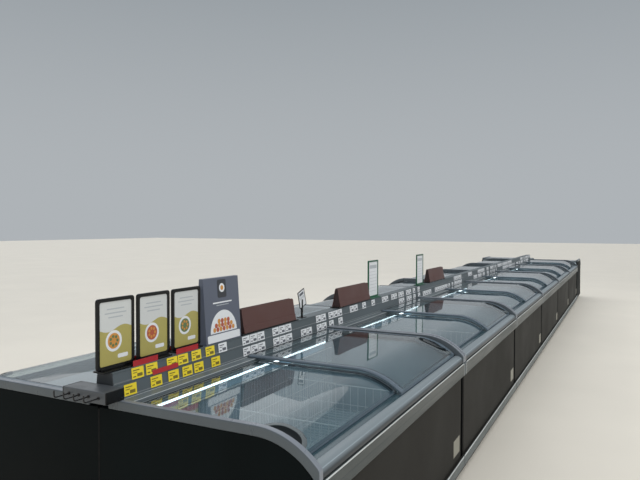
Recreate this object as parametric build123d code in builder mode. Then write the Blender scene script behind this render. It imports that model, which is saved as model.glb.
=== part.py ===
from build123d import *
import os
from math import acos, asin, cos, degrees, radians, sin

os.makedirs("parts", exist_ok=True)

# Supermarket freezer island: two rows of glass-lidded chest freezers stand back to back,
# one more stands across their far end, and a price carrier with displays runs along the middle.
# The island's frame: +Z up, +Y along the rows, X across them, the origin on the floor under
# the middle of the whole outline. Each cabinet is drawn in its own upright section plane,
# whose first axis runs from the cabinet's back line out to its front, and the second one up.

# Overall arrangement, in millimetres
CABINET_PITCH = 2100
CABINETS_PER_ROW = 6
CABINET_GAP = 8
BACK_LINE = 5
HOOK_REACH = 150

# The cross freezer is as long as the two rows are wide, so the depth follows the pitch
RAIL_FRONT = CABINET_PITCH / 2

# Heights: the machine housing and tank floor from the ground, the rest about the front track
PLINTH_H = 112
BASE_TOP = PLINTH_H + 150
TANK_FLOOR_TOP = BASE_TOP + 60
SKIRT_BOTTOM = 60
FRONT_TRACK_TOP = 779
FRONT_TOP = FRONT_TRACK_TOP - 42
UPPER_LID_TOP = FRONT_TRACK_TOP + 113
END_TRIM_TOP = UPPER_LID_TOP + 10
BACK_WALL_TOP = UPPER_LID_TOP - 50

# Depths, measured outwards from the line between the two rows
PANEL_FRONT = RAIL_FRONT - 20
CARCASS_FRONT = PANEL_FRONT - 18
TANK_FRONT = CARCASS_FRONT - 82
TANK_BACK = BACK_LINE + 100
PLINTH_SETBACK = 85
PLINTH_END_INSET = 60
BASE_SETBACK = 22

# Side walls, their curved trims and the tank's end walls
SIDE_WALL_T = 28
SIDE_WALL_RECESS = 3
END_TRIM_W = SIDE_WALL_T + SIDE_WALL_RECESS
END_TRIM_BAND = 42
END_TRIM_R = 355
END_TRIM_NOSE = RAIL_FRONT - 4
END_TRIM_BEND = END_TRIM_NOSE - 266
END_TRIM_NOSE_R = 28
SPINE_SIDE_CLEAR = 1
TANK_END_T = 38
SEAT_GAP = 0.3

# Sliding lids: both bend about one line, the upper one outside the lower one
LID_BEND = RAIL_FRONT - 325
UPPER_LID_R = 400
LID_T = 14
LID_LAYER_GAP = 14
UPPER_LID_BACK = 62
UPPER_LID_FRONT = RAIL_FRONT - 65
LOWER_LID_BACK = 120
LOWER_LID_FRONT = RAIL_FRONT - 106
LID_OVERLAP = 40
LID_END_CLEAR = 6
BOW_W = 35
RUNNER_W = 14
BACK_RUNNER_W = 20
PANE_T = 5
PANE_DROP = 1
PANE_SEAT_GAP = 0.4
GRIP_LENGTH = 140
GRIP_CORNER = 45
GRIP_POCKET_L = 136
GRIP_POCKET_W = 52
GRIP_POCKET_ANGLE = 55
GRIP_POCKET_DEPTH = 10

# What repeats has its bends drawn with a few flats instead of a smooth curve
BEND_FLATS = 5
NOSE_FLATS = 3
EDGE_FLATS = 2

# Tracks that carry the lids
FRONT_NOSE = RAIL_FRONT - 9
FRONT_NOSE_R = 27
LEDGE_STEP = 112
LEDGE_INNER = 150

# Rails along the front
BUMPER_BOTTOM = FRONT_TOP - 84
RAIL_EDGE_R = 9
BUMPER_CAP_LENGTH = 34
BUMPER_CAP_CORNER = 12
KICK_BOTTOM = SKIRT_BOTTOM - 10
KICK_TOP = KICK_BOTTOM + 72
RAIL_END_GAP = 3
PANEL_END_GAP = 20

# Fittings inside the tanks
LED_T = 12
LED_TOP = BACK_WALL_TOP - 17
LED_BOTTOM = LED_TOP - 22
LED_END_INSET = 100
DIVIDER_OFFSET = 340
DIVIDER_WIRE = 6
DIVIDER_TOP = FRONT_TOP - 47
DIVIDER_SIDE_GAP = 4

# Price carrier along the middle
SPINE_FOOT_HALF = 52
SPINE_TOP_HALF = 39
SPINE_TOP = END_TRIM_TOP + 98
SPINE_RIB = 2
SPINE_FOOT_RIB_H = 5
SPINE_MID_RIB_Z = SPINE_TOP - 58
SPINE_MID_RIB_H = 4
SPINE_TOP_RIB_H = 6
SPINE_JOINT_GAP = 2
SPINE_START = 44
SPINE_CAP_T = 6
SPINE_CAP_OVERHANG = 3

# Bag hook box at the near end
HOOK_BOX_W = 250
HOOK_BOX_FRONT = 72
HOOK_BOX_BACK = 28
HOOK_BOX_H = 50
HOOK_BOX_EDGE = 4
HOOK_WIRE = 6
HOOK_COUNT = 4
HOOK_SPACING = 56
HOOK_BEND = 12
HOOK_LIFT = 18

# Displays that stand on the carrier, one after the other from the rows' near end
FRAME_FOOT_H = 8
FRAME_FOOT_W = 64
POSTER_W = 216
POSTER_H = 306
POSTER_T = 14
POSTER_BORDER = 15
POSTER_CORNER = 12
POSTER_SHEET_T = 4
POSTER_COUNT = 3
POSTER_PITCH = POSTER_W + 19
POSTER_FIRST = 102
STAND_W = 316
STAND_H = 346
STAND_FOOT_T = 76
STAND_TOP_T = 26
SIGN_W = 600
SIGN_H = 140
SIGN_FOOT_T = 74
SIGN_TOP_T = 22
SIGN_LEDGE_H = 34
SIGN_LEDGE_T = 3
SIGN_FOOT_H = 8
SIGN_FOOT_W = SIGN_W + 60
SIGN_FOOT_DEPTH = 80
FLAG_W = 92
FLAG_H = 120
FLAG_T = 5
FLAG_POST_W = 12
FLAG_POST_H = 130
FLAG_TILT = 18
LIST_W = 226
LIST_H = 322
LIST_T = 12
LIST_BORDER = 14
LIST_CORNER = 6

# Places of the displays' middles, as distances from the rows' near end
POSTER_PLACES = [POSTER_FIRST + POSTER_PITCH * k for k in range(POSTER_COUNT)]
STAND_PLACE = POSTER_PLACES[-1] + (POSTER_W + STAND_W) / 2 + 10
FIRST_SIGN = STAND_PLACE + (STAND_W + SIGN_FOOT_W) / 2 + 9
FLAG_PLACE = FIRST_SIGN + (SIGN_FOOT_W + FLAG_W) / 2 + 69
SECOND_SIGN = FLAG_PLACE + (FLAG_W + SIGN_FOOT_W) / 2 + 474
FIRST_LIST = SECOND_SIGN + (SIGN_FOOT_W + LIST_W) / 2 + 7
SECOND_LIST = FIRST_LIST + 1345
THIRD_SIGN = SECOND_LIST + (LIST_W + SIGN_FOOT_W) / 2 + 132
SIGN_PLACES = (FIRST_SIGN, SECOND_SIGN, THIRD_SIGN)

# Worked-out sizes
ROW_LENGTH = CABINET_PITCH * CABINETS_PER_ROW
ROW_START = -(ROW_LENGTH + RAIL_FRONT - HOOK_REACH) / 2
ROW_END = ROW_START + ROW_LENGTH
HALF_CABINET = (CABINET_PITCH - CABINET_GAP) / 2
HALF_INSIDE = HALF_CABINET - END_TRIM_W
HALF_TANK = HALF_INSIDE - TANK_END_T
LID_ZONE = HALF_INSIDE - LID_END_CLEAR
LID_CENTRE_Z = UPPER_LID_TOP - UPPER_LID_R
LOWER_LID_R = UPPER_LID_R - LID_T - LID_LAYER_GAP
LOWER_LID_TOP = LID_CENTRE_Z + LOWER_LID_R
UPPER_TRACK_Z = UPPER_LID_TOP - LID_T - SEAT_GAP
LOWER_TRACK_Z = LOWER_LID_TOP - LID_T - SEAT_GAP
END_TRIM_CENTRE_Z = END_TRIM_TOP - END_TRIM_R
END_TRIM_INNER_R = END_TRIM_R - END_TRIM_BAND
END_TRIM_START = SPINE_FOOT_HALF + SPINE_RIB + SPINE_SIDE_CLEAR

# One upright section plane per cabinet, through its middle; the normal is the cabinet's left
ROW_MIDDLES = [ROW_START + CABINET_PITCH * (k + 0.5) for k in range(CABINETS_PER_ROW)]
RIGHT_PLANES = [Plane(origin=(0, y, 0), x_dir=(1, 0, 0), z_dir=(0, -1, 0)) for y in ROW_MIDDLES]
LEFT_PLANES = [Plane(origin=(0, y, 0), x_dir=(-1, 0, 0), z_dir=(0, 1, 0)) for y in ROW_MIDDLES]
HEAD_PLANE = Plane(origin=(0, ROW_END, 0), x_dir=(0, 1, 0), z_dir=(1, 0, 0))
CABINETS = RIGHT_PLANES + LEFT_PLANES + [HEAD_PLANE]
RIGHT_ANGLE = 90


def both_ends(offset):
    """The cabinets' section planes moved to both ends by one offset."""
    return [plane.offset(side * offset) for plane in CABINETS for side in (-1, 1)]


def row_plane(y, bottom=0):
    """An upright plane across the rows at a place along them, seen from the near end."""
    return Plane(origin=(0, y, bottom), x_dir=(1, 0, 0), z_dir=(0, -1, 0))


def box_section(inner, outer, bottom, top):
    """A rectangle in the section plane, by its depths and heights."""
    with Locations(((inner + outer) / 2, (bottom + top) / 2)):
        Rectangle(outer - inner, top - bottom)


def bend(centre, radius, first, last, flats):
    """Points round a bend, from one angle to another, measured from upright towards the front."""
    angles = [radians(first + (last - first) * k / flats) for k in range(flats + 1)]
    return [(centre[0] + radius * sin(angle), centre[1] + radius * cos(angle)) for angle in angles]


def outline(points):
    """A closed face through points."""
    with BuildSketch() as face:
        with BuildLine():
            Polyline(*points, close=True)
        make_face()
    return face.sketch


def finish(part, name):
    """Names a finished piece and writes its file."""
    part.label = name
    export_step(part, f"parts/{name}.step")


# Plinths: dark recessed boxes that carry the cabinets on the floor
with BuildPart() as plinths:
    with BuildSketch(*CABINETS):
        box_section(BACK_LINE + PLINTH_SETBACK, CARCASS_FRONT - PLINTH_SETBACK, 0, PLINTH_H)
    extrude(amount=HALF_CABINET - PLINTH_END_INSET, both=True)
finish(plinths.part, "plinths")

# Machine housings under the tanks
with BuildPart() as base_housings:
    with BuildSketch(*CABINETS):
        box_section(BACK_LINE, CARCASS_FRONT - BASE_SETBACK, PLINTH_H, BASE_TOP)
    extrude(amount=HALF_INSIDE, both=True)
finish(base_housings.part, "base_housings")

# Insulated tank: floor, back wall, front wall and the two end walls
with BuildPart() as tank_floors:
    with BuildSketch(*CABINETS):
        box_section(BACK_LINE, CARCASS_FRONT, BASE_TOP, TANK_FLOOR_TOP)
    extrude(amount=HALF_INSIDE, both=True)
finish(tank_floors.part, "tank_floors")

with BuildPart() as tank_back_walls:
    with BuildSketch(*CABINETS):
        box_section(BACK_LINE, TANK_BACK, TANK_FLOOR_TOP, BACK_WALL_TOP)
    extrude(amount=HALF_INSIDE, both=True)
finish(tank_back_walls.part, "tank_back_walls")

with BuildPart() as tank_front_walls:
    with BuildSketch(*CABINETS):
        box_section(TANK_FRONT, CARCASS_FRONT, TANK_FLOOR_TOP, FRONT_TOP)
    extrude(amount=HALF_INSIDE, both=True)
finish(tank_front_walls.part, "tank_front_walls")

TANK_END_R = BACK_WALL_TOP - LID_CENTRE_Z
TANK_END_ANGLE = degrees(asin((TANK_FRONT - LID_BEND) / TANK_END_R))
with BuildPart() as tank_end_walls:
    with BuildSketch(*both_ends(HALF_TANK + TANK_END_T / 2)):
        add(
            outline(
                [
                    (TANK_FRONT, TANK_FLOOR_TOP),
                    (TANK_BACK, TANK_FLOOR_TOP),
                    (TANK_BACK, BACK_WALL_TOP),
                    *bend((LID_BEND, LID_CENTRE_Z), TANK_END_R, 0, TANK_END_ANGLE, EDGE_FLATS),
                ]
            )
        )
    extrude(amount=TANK_END_T / 2, both=True)
finish(tank_end_walls.part, "tank_end_walls")

# Side walls: the dark painted ends of each cabinet, under the curved trims
TRIM_CENTRE = (END_TRIM_BEND, END_TRIM_CENTRE_Z)
TRIM_FOOT_ANGLE = degrees(acos((FRONT_TOP - END_TRIM_CENTRE_Z) / END_TRIM_INNER_R))
SIDE_R = END_TRIM_INNER_R - SEAT_GAP
SIDE_FLAT = END_TRIM_CENTRE_Z + SIDE_R


def side_edge(inset):
    """The side wall's top bend and front edge, drawn in by an inset."""
    front = CARCASS_FRONT - inset
    *flats, before, after = bend(TRIM_CENTRE, SIDE_R - inset, 0, TRIM_FOOT_ANGLE, BEND_FLATS)
    share = (front - before[0]) / (after[0] - before[0])
    corner = before[1] + share * (after[1] - before[1])
    return [*flats, before, (front, corner), (front, SKIRT_BOTTOM)]


with BuildPart() as side_walls:
    with BuildSketch(*both_ends(HALF_INSIDE + SIDE_WALL_T / 2)):
        add(outline([(BACK_LINE, SIDE_FLAT), *side_edge(0), (BACK_LINE, SKIRT_BOTTOM)]))
    extrude(amount=SIDE_WALL_T / 2, both=True)
finish(side_walls.part, "side_walls")

# End trims: the curved grey band over each side wall, with a rounded nose at the front
NOSE_ANGLE = degrees(asin((END_TRIM_NOSE - END_TRIM_NOSE_R - END_TRIM_BEND) / (END_TRIM_R - END_TRIM_NOSE_R)))
NOSE_CENTRE = (
    END_TRIM_NOSE - END_TRIM_NOSE_R,
    END_TRIM_CENTRE_Z + (END_TRIM_R - END_TRIM_NOSE_R) * cos(radians(NOSE_ANGLE)),
)
with BuildPart() as end_trims:
    with BuildSketch(*both_ends(HALF_INSIDE + END_TRIM_W / 2)):
        add(
            outline(
                [
                    (END_TRIM_START, END_TRIM_TOP),
                    *bend(TRIM_CENTRE, END_TRIM_R, 0, NOSE_ANGLE, BEND_FLATS)[:-1],
                    *bend(NOSE_CENTRE, END_TRIM_NOSE_R, NOSE_ANGLE, RIGHT_ANGLE, NOSE_FLATS),
                    (END_TRIM_NOSE, FRONT_TOP),
                    *bend(TRIM_CENTRE, END_TRIM_INNER_R, TRIM_FOOT_ANGLE, 0, BEND_FLATS),
                    (END_TRIM_START, END_TRIM_TOP - END_TRIM_BAND),
                ]
            )
        )
    extrude(amount=END_TRIM_W / 2, both=True)
finish(end_trims.part, "end_trims")

# Dark strips that close the gaps between neighbouring cabinets, and behind the cross freezer
STRIP_INSET = 7
WALL_REACH = CABINET_GAP / 2 + SIDE_WALL_RECESS
STRIP_SPANS = [
    (ROW_START + CABINET_PITCH * k - WALL_REACH, ROW_START + CABINET_PITCH * k + WALL_REACH)
    for k in range(1, CABINETS_PER_ROW)
]
STRIP_SPANS.append((ROW_END - WALL_REACH, ROW_END + BACK_LINE))
with BuildPart() as joint_strips:
    for first, last in STRIP_SPANS:
        with BuildSketch(row_plane(last)):
            edge = side_edge(STRIP_INSET)
            add(outline(edge + [(-x, z) for x, z in reversed(edge)]))
        extrude(amount=last - first)
    with BuildSketch(Plane.XY.offset(SKIRT_BOTTOM)):
        with Locations((0, ROW_START + WALL_REACH + SIDE_WALL_T / 2)):
            Rectangle(2 * BACK_LINE, SIDE_WALL_T)
    extrude(amount=SIDE_FLAT - STRIP_INSET - SKIRT_BOTTOM)
finish(joint_strips.part, "joint_strips")

# Front panels, one to a cabinet, with a dark gap between them
PANEL_HALF = HALF_CABINET - PANEL_END_GAP
with BuildPart() as front_panels:
    with BuildSketch(*CABINETS):
        box_section(CARCASS_FRONT, PANEL_FRONT, SKIRT_BOTTOM, FRONT_TOP)
    extrude(amount=PANEL_HALF, both=True)
finish(front_panels.part, "front_panels")


def rail_section(bottom, top, edge_flats):
    """A flat rail with both outer edges rounded."""
    edge = RAIL_FRONT - RAIL_EDGE_R
    return outline(
        [
            (PANEL_FRONT, top),
            *bend((edge, top - RAIL_EDGE_R), RAIL_EDGE_R, 0, RIGHT_ANGLE, edge_flats),
            *bend((edge, bottom + RAIL_EDGE_R), RAIL_EDGE_R, RIGHT_ANGLE, 2 * RIGHT_ANGLE, edge_flats),
            (PANEL_FRONT, bottom),
        ]
    )


def bumper_cap(cabinet, side):
    """One bumper end cap, its free corner cut off in plan."""
    cap_plane = cabinet.offset(side * (RAIL_HALF - BUMPER_CAP_LENGTH / 2))
    plan = [
        (PANEL_FRONT, -BUMPER_CAP_LENGTH / 2),
        (PANEL_FRONT, BUMPER_CAP_LENGTH / 2),
        (RAIL_FRONT - BUMPER_CAP_CORNER, BUMPER_CAP_LENGTH / 2),
        (RAIL_FRONT, BUMPER_CAP_LENGTH / 2 - BUMPER_CAP_CORNER),
        (RAIL_FRONT, -BUMPER_CAP_LENGTH / 2),
    ]
    with BuildPart() as cap:
        with BuildSketch(cap_plane):
            add(rail_section(BUMPER_BOTTOM, FRONT_TOP, EDGE_FLATS))
        extrude(amount=BUMPER_CAP_LENGTH / 2, both=True)
        with BuildSketch(Plane(cap_plane.origin, x_dir=cabinet.x_dir, z_dir=(0, 0, 1))):
            add(outline([(depth, -side * along) for depth, along in plan]))
        extrude(amount=FRONT_TOP, mode=Mode.INTERSECT)
    return cap.part


# Bumper rails with their rounded end caps, and kick rails under them
RAIL_HALF = HALF_CABINET - RAIL_END_GAP
BUMPER_HALF = RAIL_HALF - BUMPER_CAP_LENGTH
with BuildPart() as bumper_rails:
    with BuildSketch(*CABINETS):
        add(rail_section(BUMPER_BOTTOM, FRONT_TOP, EDGE_FLATS))
    extrude(amount=BUMPER_HALF, both=True)
finish(bumper_rails.part, "bumper_rails")

with BuildPart() as bumper_caps:
    for cabinet in CABINETS:
        add(bumper_cap(cabinet, -1))
        add(bumper_cap(cabinet, 1))
finish(bumper_caps.part, "bumper_caps")

with BuildPart() as kick_rails:
    with BuildSketch(*CABINETS):
        add(rail_section(KICK_BOTTOM, KICK_TOP, 1))
    extrude(amount=RAIL_HALF, both=True)
finish(kick_rails.part, "kick_rails")

# Front trims: the flat tracks of both lids, a pale band and a rounded nose
TRACK_EDGE = (FRONT_NOSE - FRONT_NOSE_R, FRONT_TRACK_TOP - FRONT_NOSE_R)
with BuildPart() as front_trims:
    with BuildSketch(*CABINETS):
        add(
            outline(
                [
                    (TANK_FRONT, FRONT_TRACK_TOP),
                    *bend(TRACK_EDGE, FRONT_NOSE_R, 0, RIGHT_ANGLE, NOSE_FLATS),
                    (FRONT_NOSE, FRONT_TOP),
                    (TANK_FRONT, FRONT_TOP),
                ]
            )
        )
    extrude(amount=HALF_INSIDE, both=True)
finish(front_trims.part, "front_trims")

# Back ledges: two stepped tracks along the back wall
with BuildPart() as back_ledges:
    with BuildSketch(*CABINETS):
        add(
            outline(
                [
                    (BACK_LINE, BACK_WALL_TOP),
                    (LEDGE_INNER, BACK_WALL_TOP),
                    (LEDGE_INNER, LOWER_TRACK_Z),
                    (LEDGE_STEP, LOWER_TRACK_Z),
                    (LEDGE_STEP, UPPER_TRACK_Z),
                    (BACK_LINE, UPPER_TRACK_Z),
                ]
            )
        )
    extrude(amount=HALF_INSIDE, both=True)
finish(back_ledges.part, "back_ledges")

# Light strips under the back ledges
with BuildPart() as led_strips:
    with BuildSketch(*CABINETS):
        box_section(TANK_BACK, TANK_BACK + LED_T, LED_BOTTOM, LED_TOP)
    extrude(amount=HALF_TANK - LED_END_INSET, both=True)
finish(led_strips.part, "led_strips")

# Divider frames: wire hoops that stand across each tank
DIVIDER_INNER = TANK_BACK + DIVIDER_SIDE_GAP
DIVIDER_OUTER = TANK_FRONT - DIVIDER_SIDE_GAP
with BuildPart() as divider_frames:
    with BuildSketch(*both_ends(DIVIDER_OFFSET)):
        box_section(DIVIDER_INNER, DIVIDER_OUTER, DIVIDER_TOP - DIVIDER_WIRE, DIVIDER_TOP)
        box_section(DIVIDER_INNER, DIVIDER_INNER + DIVIDER_WIRE, TANK_FLOOR_TOP, DIVIDER_TOP)
        box_section(DIVIDER_OUTER - DIVIDER_WIRE, DIVIDER_OUTER, TANK_FLOOR_TOP, DIVIDER_TOP)
    extrude(amount=DIVIDER_WIRE / 2, both=True)
finish(divider_frames.part, "divider_frames")

LID_CENTRE = (LID_BEND, LID_CENTRE_Z)


def lid_band(outer_r, inner_r, back, end_angle):
    """The lid's section between two radii, flat from its back edge and then bent."""
    return outline(
        [
            (back, LID_CENTRE_Z + outer_r),
            *bend(LID_CENTRE, outer_r, 0, end_angle, BEND_FLATS),
            *bend(LID_CENTRE, inner_r, end_angle, 0, BEND_FLATS),
            (back, LID_CENTRE_Z + inner_r),
        ]
    )


def build_lid(plane, outer_r, back, front, side):
    """One lid: a frame of two bows, two runners and a grip, and a bent pane let into it.

    Side is +1 for the lower lid, on the cabinet's left, and -1 for the upper one.
    """
    inner_r = outer_r - LID_T
    end_angle = degrees(asin((front - LID_BEND) / outer_r))
    front_edge_z = LID_CENTRE_Z + outer_r * cos(radians(end_angle))
    length = LID_ZONE + LID_OVERLAP / 2
    middle = side * (LID_ZONE - length / 2)
    outer_end = middle + side * length / 2
    centre = plane.offset(middle)
    both_bows = [plane.offset(middle + end * (length - BOW_W) / 2) for end in (-1, 1)]

    # The grip spans all flats of the bend but the first and the last one
    grip_first = end_angle / BEND_FLATS
    grip_last = end_angle - grip_first
    grip_middle = end_angle / 2
    grip_back = LID_BEND + outer_r * sin(radians(grip_first))
    grip_front = LID_BEND + outer_r * sin(radians(grip_last))
    plan_plane = Plane(plane.origin, x_dir=plane.x_dir, z_dir=(0, 0, 1))

    def grip_plan(clearance):
        """The grip's outline seen from above, with its free corners cut off."""
        inner = outer_end - side * (GRIP_LENGTH + clearance)
        corner = inner + side * GRIP_CORNER
        points = [
            (grip_back - clearance, outer_end),
            (grip_back - clearance, corner),
            (grip_back + GRIP_CORNER, inner),
            (grip_front - GRIP_CORNER, inner),
            (grip_front + clearance, corner),
            (grip_front + clearance, outer_end),
        ]
        return outline([(depth, -along) for depth, along in points])

    pocket_at = bend(LID_CENTRE, outer_r, grip_middle, grip_middle, 1)[0]
    pocket_plane = Plane(
        origin=plane.offset(outer_end - side * GRIP_LENGTH / 2).origin
        + plane.x_dir * pocket_at[0]
        + Vector(0, 0, pocket_at[1]),
        x_dir=plane.z_dir * side,
        z_dir=plane.x_dir * sin(radians(grip_middle)) + Vector(0, 0, cos(radians(grip_middle))),
    )
    with BuildPart() as grip:
        with BuildSketch(plane.offset(outer_end - side * GRIP_LENGTH / 2)):
            add(
                outline(
                    bend(LID_CENTRE, outer_r, grip_first, grip_last, BEND_FLATS - 2)
                    + bend(LID_CENTRE, inner_r, grip_last, grip_first, BEND_FLATS - 2)
                )
            )
        extrude(amount=GRIP_LENGTH / 2, both=True)
        with BuildSketch(plan_plane):
            add(grip_plan(0))
        extrude(amount=UPPER_LID_TOP, mode=Mode.INTERSECT)
    with BuildPart() as frame:
        with BuildSketch(*both_bows):
            add(lid_band(outer_r, inner_r, back, end_angle))
        extrude(amount=BOW_W / 2, both=True)
        with BuildSketch(centre):
            box_section(back, back + BACK_RUNNER_W, LID_CENTRE_Z + inner_r, LID_CENTRE_Z + outer_r)
            box_section(front - RUNNER_W, front, FRONT_TRACK_TOP + SEAT_GAP, front_edge_z)
        extrude(amount=length / 2, both=True)
        add(grip.part)
        with BuildSketch(pocket_plane):
            Trapezoid(GRIP_POCKET_L, GRIP_POCKET_W, GRIP_POCKET_ANGLE, rotation=RIGHT_ANGLE)
        extrude(amount=-GRIP_POCKET_DEPTH, mode=Mode.SUBTRACT)
    pane_r = outer_r - PANE_DROP
    pane_front = front - RUNNER_W - PANE_SEAT_GAP
    pane_angle = degrees(asin((pane_front - LID_BEND) / pane_r))
    with BuildPart() as pane:
        with BuildSketch(centre):
            add(lid_band(pane_r, pane_r - PANE_T, back + BACK_RUNNER_W + PANE_SEAT_GAP, pane_angle))
        extrude(amount=length / 2 - BOW_W - PANE_SEAT_GAP, both=True)
        with BuildSketch(plan_plane):
            add(grip_plan(PANE_SEAT_GAP))
        extrude(amount=UPPER_LID_TOP, mode=Mode.SUBTRACT)
    return Compound(children=[frame.part, pane.part])


for plane_name, planes in (("right", RIGHT_PLANES), ("left", LEFT_PLANES), ("head", [HEAD_PLANE])):
    for k, plane in enumerate(planes):
        number = f"_{k + 1}" if len(planes) > 1 else ""
        lower = build_lid(plane, LOWER_LID_R, LOWER_LID_BACK, LOWER_LID_FRONT, 1)
        finish(lower, f"{plane_name}{number}_lower_lid")
        upper = build_lid(plane, UPPER_LID_R, UPPER_LID_BACK, UPPER_LID_FRONT, -1)
        finish(upper, f"{plane_name}{number}_upper_lid")


# Price carrier: a tapering hollow-sided rail in one length per cabinet, with two label channels
def spine_half(height):
    """Half the carrier's width at a height, between its ribs."""
    share = (height - UPPER_TRACK_Z) / (SPINE_TOP - UPPER_TRACK_Z)
    return SPINE_FOOT_HALF + share * (SPINE_TOP_HALF - SPINE_FOOT_HALF)


def spine_section():
    """The carrier's section, with a rib at its foot, middle and top edges."""
    ribs = (
        (UPPER_TRACK_Z, UPPER_TRACK_Z + SPINE_FOOT_RIB_H),
        (SPINE_MID_RIB_Z, SPINE_MID_RIB_Z + SPINE_MID_RIB_H),
        (SPINE_TOP - SPINE_TOP_RIB_H, SPINE_TOP),
    )
    right = []
    for low, high in ribs:
        right += [(spine_half(low), low)] if low > UPPER_TRACK_Z else []
        right += [(spine_half(low) + SPINE_RIB, low), (spine_half(high) + SPINE_RIB, high)]
        right += [(spine_half(high), high)] if high < SPINE_TOP else []
    return outline(right + [(-x, z) for x, z in reversed(right)])


with BuildPart() as spine_housings:
    for k in range(CABINETS_PER_ROW):
        first = ROW_START + (SPINE_START if k == 0 else CABINET_PITCH * k + SPINE_JOINT_GAP / 2)
        last = ROW_START + CABINET_PITCH * (k + 1) - SPINE_JOINT_GAP / 2
        with BuildSketch(row_plane(last)):
            add(spine_section())
        extrude(amount=last - first)
finish(spine_housings.part, "spine_housings")

with BuildPart() as spine_end_cap:
    with BuildSketch(row_plane(ROW_START + SPINE_START)):
        add(
            outline(
                [
                    (SPINE_FOOT_HALF + SPINE_CAP_OVERHANG, UPPER_TRACK_Z),
                    (SPINE_TOP_HALF + SPINE_CAP_OVERHANG, SPINE_TOP),
                    (-SPINE_TOP_HALF - SPINE_CAP_OVERHANG, SPINE_TOP),
                    (-SPINE_FOOT_HALF - SPINE_CAP_OVERHANG, UPPER_TRACK_Z),
                ]
            )
        )
    extrude(amount=SPINE_CAP_T)
finish(spine_end_cap.part, "spine_end_cap")

# Bag hook box at the near end, on the first end trims, and its wire hooks
HOOK_BOX_FACE = ROW_START - HOOK_BOX_FRONT
with BuildPart() as hook_box:
    with BuildSketch(Plane(origin=(0, HOOK_BOX_FACE, 0), x_dir=(-1, 0, 0), z_dir=(0, 1, 0))):
        with Locations((0, END_TRIM_TOP + HOOK_BOX_H / 2)):
            Rectangle(HOOK_BOX_W, HOOK_BOX_H)
    extrude(amount=HOOK_BOX_FRONT + HOOK_BOX_BACK)
    chamfer(hook_box.edges().filter_by(Axis.X), HOOK_BOX_EDGE)
finish(hook_box.part, "hook_box")

HOOK_Z = END_TRIM_TOP + HOOK_BOX_H / 2
HOOK_TIP = ROW_START - HOOK_REACH
with BuildPart() as bag_hooks:
    for k in range(HOOK_COUNT):
        x = (k - (HOOK_COUNT - 1) / 2) * HOOK_SPACING
        with BuildSketch(Plane(origin=(x, 0, HOOK_Z), x_dir=(0, 1, 0), z_dir=(1, 0, 0))):
            add(
                outline(
                    [
                        (HOOK_BOX_FACE, -HOOK_WIRE / 2),
                        (HOOK_TIP + HOOK_BEND, -HOOK_WIRE / 2),
                        (HOOK_TIP, HOOK_BEND),
                        (HOOK_TIP, HOOK_BEND + HOOK_LIFT),
                        (HOOK_TIP + HOOK_WIRE, HOOK_BEND + HOOK_LIFT),
                        (HOOK_TIP + HOOK_WIRE, HOOK_BEND + HOOK_WIRE / 2),
                        (HOOK_TIP + HOOK_BEND + HOOK_WIRE / 2, HOOK_WIRE / 2),
                        (HOOK_BOX_FACE, HOOK_WIRE / 2),
                    ]
                )
            )
        extrude(amount=HOOK_WIRE / 2, both=True)
finish(bag_hooks.part, "bag_hooks")


def standing_plane(place, bottom):
    """An upright plane along the rows, facing the right side, at a place on the carrier."""
    return Plane(origin=(0, ROW_START + place, bottom), x_dir=(0, 1, 0), z_dir=(1, 0, 0))


def framed_sheets(places, width, height, thickness, border, corner):
    """Upright frames on flat feet at their places, and the sheets that they hold."""
    with BuildPart() as frames:
        for place in places:
            with BuildSketch(standing_plane(place, SPINE_TOP + FRAME_FOOT_H)):
                with Locations((0, height / 2)):
                    board = Rectangle(width, height)
                    chamfer(board.vertices(), corner)
                    Rectangle(width - 2 * border, height - 2 * border, mode=Mode.SUBTRACT)
            extrude(amount=thickness / 2, both=True)
            with BuildSketch(Plane.XY.offset(SPINE_TOP)):
                with Locations((0, ROW_START + place)):
                    Rectangle(FRAME_FOOT_W, width - 2 * corner)
            extrude(amount=FRAME_FOOT_H)
    with BuildPart() as sheets:
        with BuildSketch(*[standing_plane(place, SPINE_TOP + FRAME_FOOT_H) for place in places]):
            with Locations((0, height / 2)):
                Rectangle(width - 2 * border, height - 2 * border)
        extrude(amount=POSTER_SHEET_T / 2, both=True)
    return frames.part, sheets.part


# Poster frames and price list frames
poster_frames, posters = framed_sheets(
    POSTER_PLACES, POSTER_W, POSTER_H, POSTER_T, POSTER_BORDER, POSTER_CORNER
)
finish(poster_frames, "poster_frames")
finish(posters, "posters")
list_frames, list_cards = framed_sheets(
    (FIRST_LIST, SECOND_LIST), LIST_W, LIST_H, LIST_T, LIST_BORDER, LIST_CORNER
)
finish(list_frames, "list_frames")
finish(list_cards, "list_cards")

# Display stand: a closed wedge of board
with BuildPart() as display_stand:
    with BuildSketch(row_plane(ROW_START + STAND_PLACE + STAND_W / 2, SPINE_TOP)):
        add(
            outline(
                [
                    (STAND_FOOT_T / 2, 0),
                    (STAND_TOP_T / 2, STAND_H),
                    (-STAND_TOP_T / 2, STAND_H),
                    (-STAND_FOOT_T / 2, 0),
                ]
            )
        )
    extrude(amount=STAND_W)
finish(display_stand.part, "display_stand")

# Section signs: wedge boards with a low ledge, on flat feet
with BuildPart() as sign_feet:
    with BuildSketch(Plane.XY.offset(SPINE_TOP)):
        with Locations(*[(0, ROW_START + place) for place in SIGN_PLACES]):
            Rectangle(SIGN_FOOT_DEPTH, SIGN_FOOT_W)
    extrude(amount=SIGN_FOOT_H)
finish(sign_feet.part, "sign_feet")

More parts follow.
